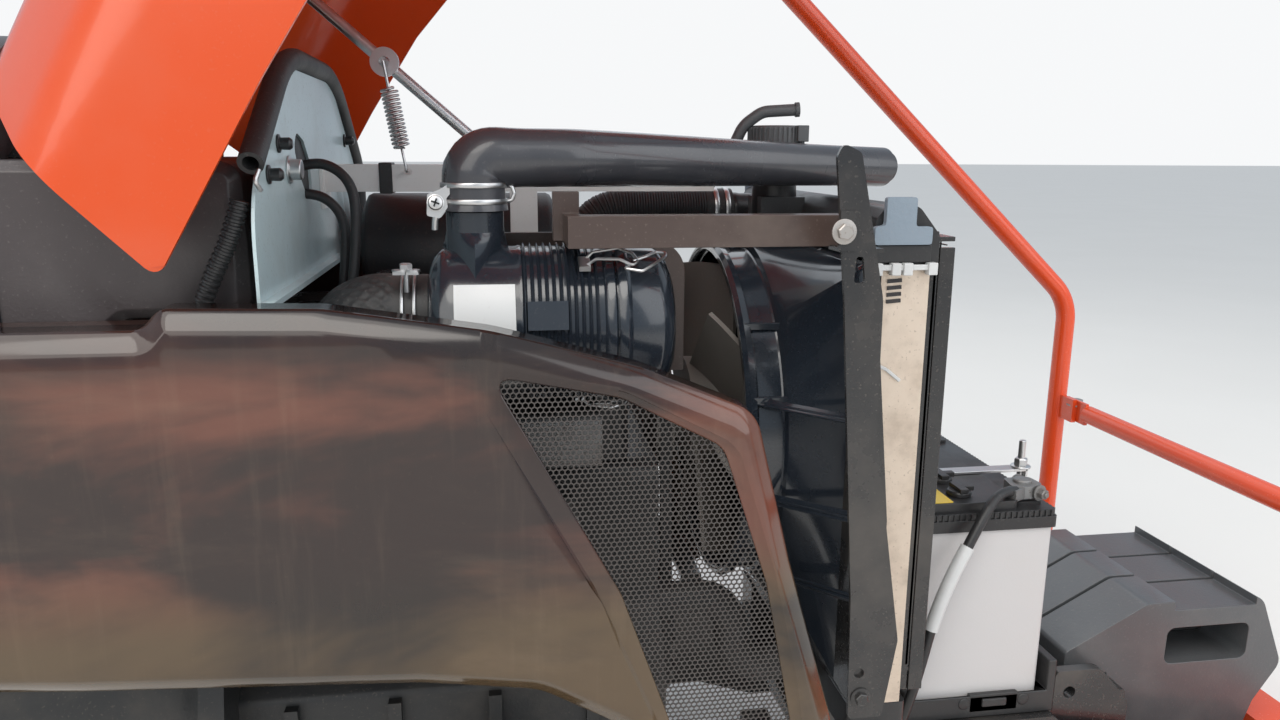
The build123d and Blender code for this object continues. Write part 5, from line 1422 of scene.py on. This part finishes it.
def coil_spring():
    """The spring's turns and its lower hook, which goes through the stay bar's hole."""
    bm = bmesh.new()
    low, high = Vector((369, 0, 425)), Vector((353.8, 0, 515.8))
    axis, side, other = frame_of(high - low)
    turns, steps = 15, 16
    count = turns * steps
    line = []
    for k in range(count + 1):
        a = 2 * math.pi * k / steps
        r = max(6.5 * smooth(-8, 10, k) * smooth(count + 8, count - 10, k), 0.4)
        centre = low + axis * (20 + 50 * k / count)
        line.append(centre + (side * math.cos(a) + other * math.sin(a)) * r)
    hook = bent([low + Vector((0, 10, 0)), low, low + axis * 19.5], [2], 5)
    along(bm, hook + line, 1.15, 7)
    piece("spring_coil", bm, "bright_steel", "spring_lower", ("stay_spring",), 60)


def stay_band():
    bm = bmesh.new()
    brick(bm, (345, 6.4, 406.4), (356, 33.6, 432.6))
    piece("stay_bar_band", bm, "satin_black", soft=0.8)


bulkhead()
bulkhead_fittings()
upper_hose()
tank_rib()
coil_spring()
softened(fuel_tank=5.0, hinge_brackets=0.8, support_bar=2.2, stay_bar=0.9)
stay_band()


# Bonnet

REAR_CORNER = Vector((246, 368))


def bonnet():
    """The lofted skin, with its lower rear corners rounded."""

    def at_corner(v):
        return (Vector((v.co.x, v.co.z)) - REAR_CORNER).length < 12

    bm = from_node("bonnet")
    edges = [e for e in bm.edges if all(at_corner(v) for v in e.verts)
             and abs(e.verts[0].co.y - e.verts[1].co.y) > 1.2]
    bmesh.ops.bevel(bm, geom=edges, offset=9, segments=5, profile=0.5, affect="EDGES", clamp_overlap=True)
    piece("bonnet_skin", bm, "orange_paint", "bonnet", ("bonnet",), 30, 1.1)


bonnet()


# Engine

softened(rocker_cover=5.0, cylinder_head=2.5, engine_block=2.5, oil_pan=2.5, clutch_housing=2.5,
         intake_manifold=3.0, injection_pump=1.5, alternator=1.0, muffler=3.0, exhaust_manifold=4.0)


# Floor, backdrop and lights

FLOOR_Z = cad_box[0][2] - 0.002


def make_stage():
    """A wide pale floor just under the lowest piece."""
    look = Look("floor_pale", roughness=0.7)
    look.set("Base Color", look.blend(look.noise(2.0, 3.0), (0.7, 0.68, 0.65), (0.74, 0.72, 0.69)))
    mesh = bpy.data.meshes.new("floor")
    reach = 80.0
    corners = [(x * reach, y * reach, FLOOR_Z) for x, y in ((-1, -1), (1, -1), (1, 1), (-1, 1))]
    mesh.from_pydata(corners, [], [(0, 1, 2, 3)])
    mesh.materials.append(look.material)
    add("floor", mesh)


def area_light(name, at, aim, size, power, colour=(1.0, 1.0, 1.0)):
    data = bpy.data.lights.new(name, "AREA")
    data.shape = "RECTANGLE"
    data.size, data.size_y = size
    data.energy = power
    data.color = colour
    lamp = add(name, data)
    lamp.location = at
    lamp.rotation_euler = (Vector(aim) - Vector(at)).to_track_quat("-Z", "Y").to_euler()


def make_world():
    """Soft light from all round, and a paler colour where the camera sees past the object."""
    world = bpy.data.worlds.new("studio")
    bpy.context.scene.world = world
    world.use_nodes = True
    tree = world.node_tree
    shade = tree.nodes["Background"]
    shade.inputs["Strength"].default_value = 0.62
    shade.inputs["Color"].default_value = (0.76, 0.87, 1.0, 1.0)
    seen = tree.nodes.new("ShaderNodeBackground")
    seen.inputs["Color"].default_value = (0.93, 0.94, 0.95, 1.0)
    path = tree.nodes.new("ShaderNodeLightPath")
    mix = tree.nodes.new("ShaderNodeMixShader")
    tree.links.new(path.outputs["Is Camera Ray"], mix.inputs[0])
    tree.links.new(shade.outputs[0], mix.inputs[1])
    tree.links.new(seen.outputs[0], mix.inputs[2])
    tree.links.new(mix.outputs[0], tree.nodes["World Output"].inputs["Surface"])


def make_lamps():
    area_light("key", (-1.6, -3.0, 3.6), (0.5, 0.0, 0.2), (5.5, 5.5), 210.0, (1.0, 0.95, 0.88))
    sun = bpy.data.lights.new("sky", "SUN")
    sun.energy = 1.0
    sun.color = (1.0, 0.96, 0.9)
    sun.angle = 0.7
    add("sky", sun).rotation_euler = (math.radians(28), math.radians(-12), 0)
    area_light("fill", (2.6, -1.6, 1.6), (0.7, 0.0, 0.2), (2.6, 2.6), 36.0)
    area_light("back", (0.6, 2.6, 2.2), (0.5, 0.0, 0.2), (3.0, 2.4), 16.0)


make_stage()
make_world()
make_lamps()
bpy.context.scene.view_settings.view_transform = "Standard"
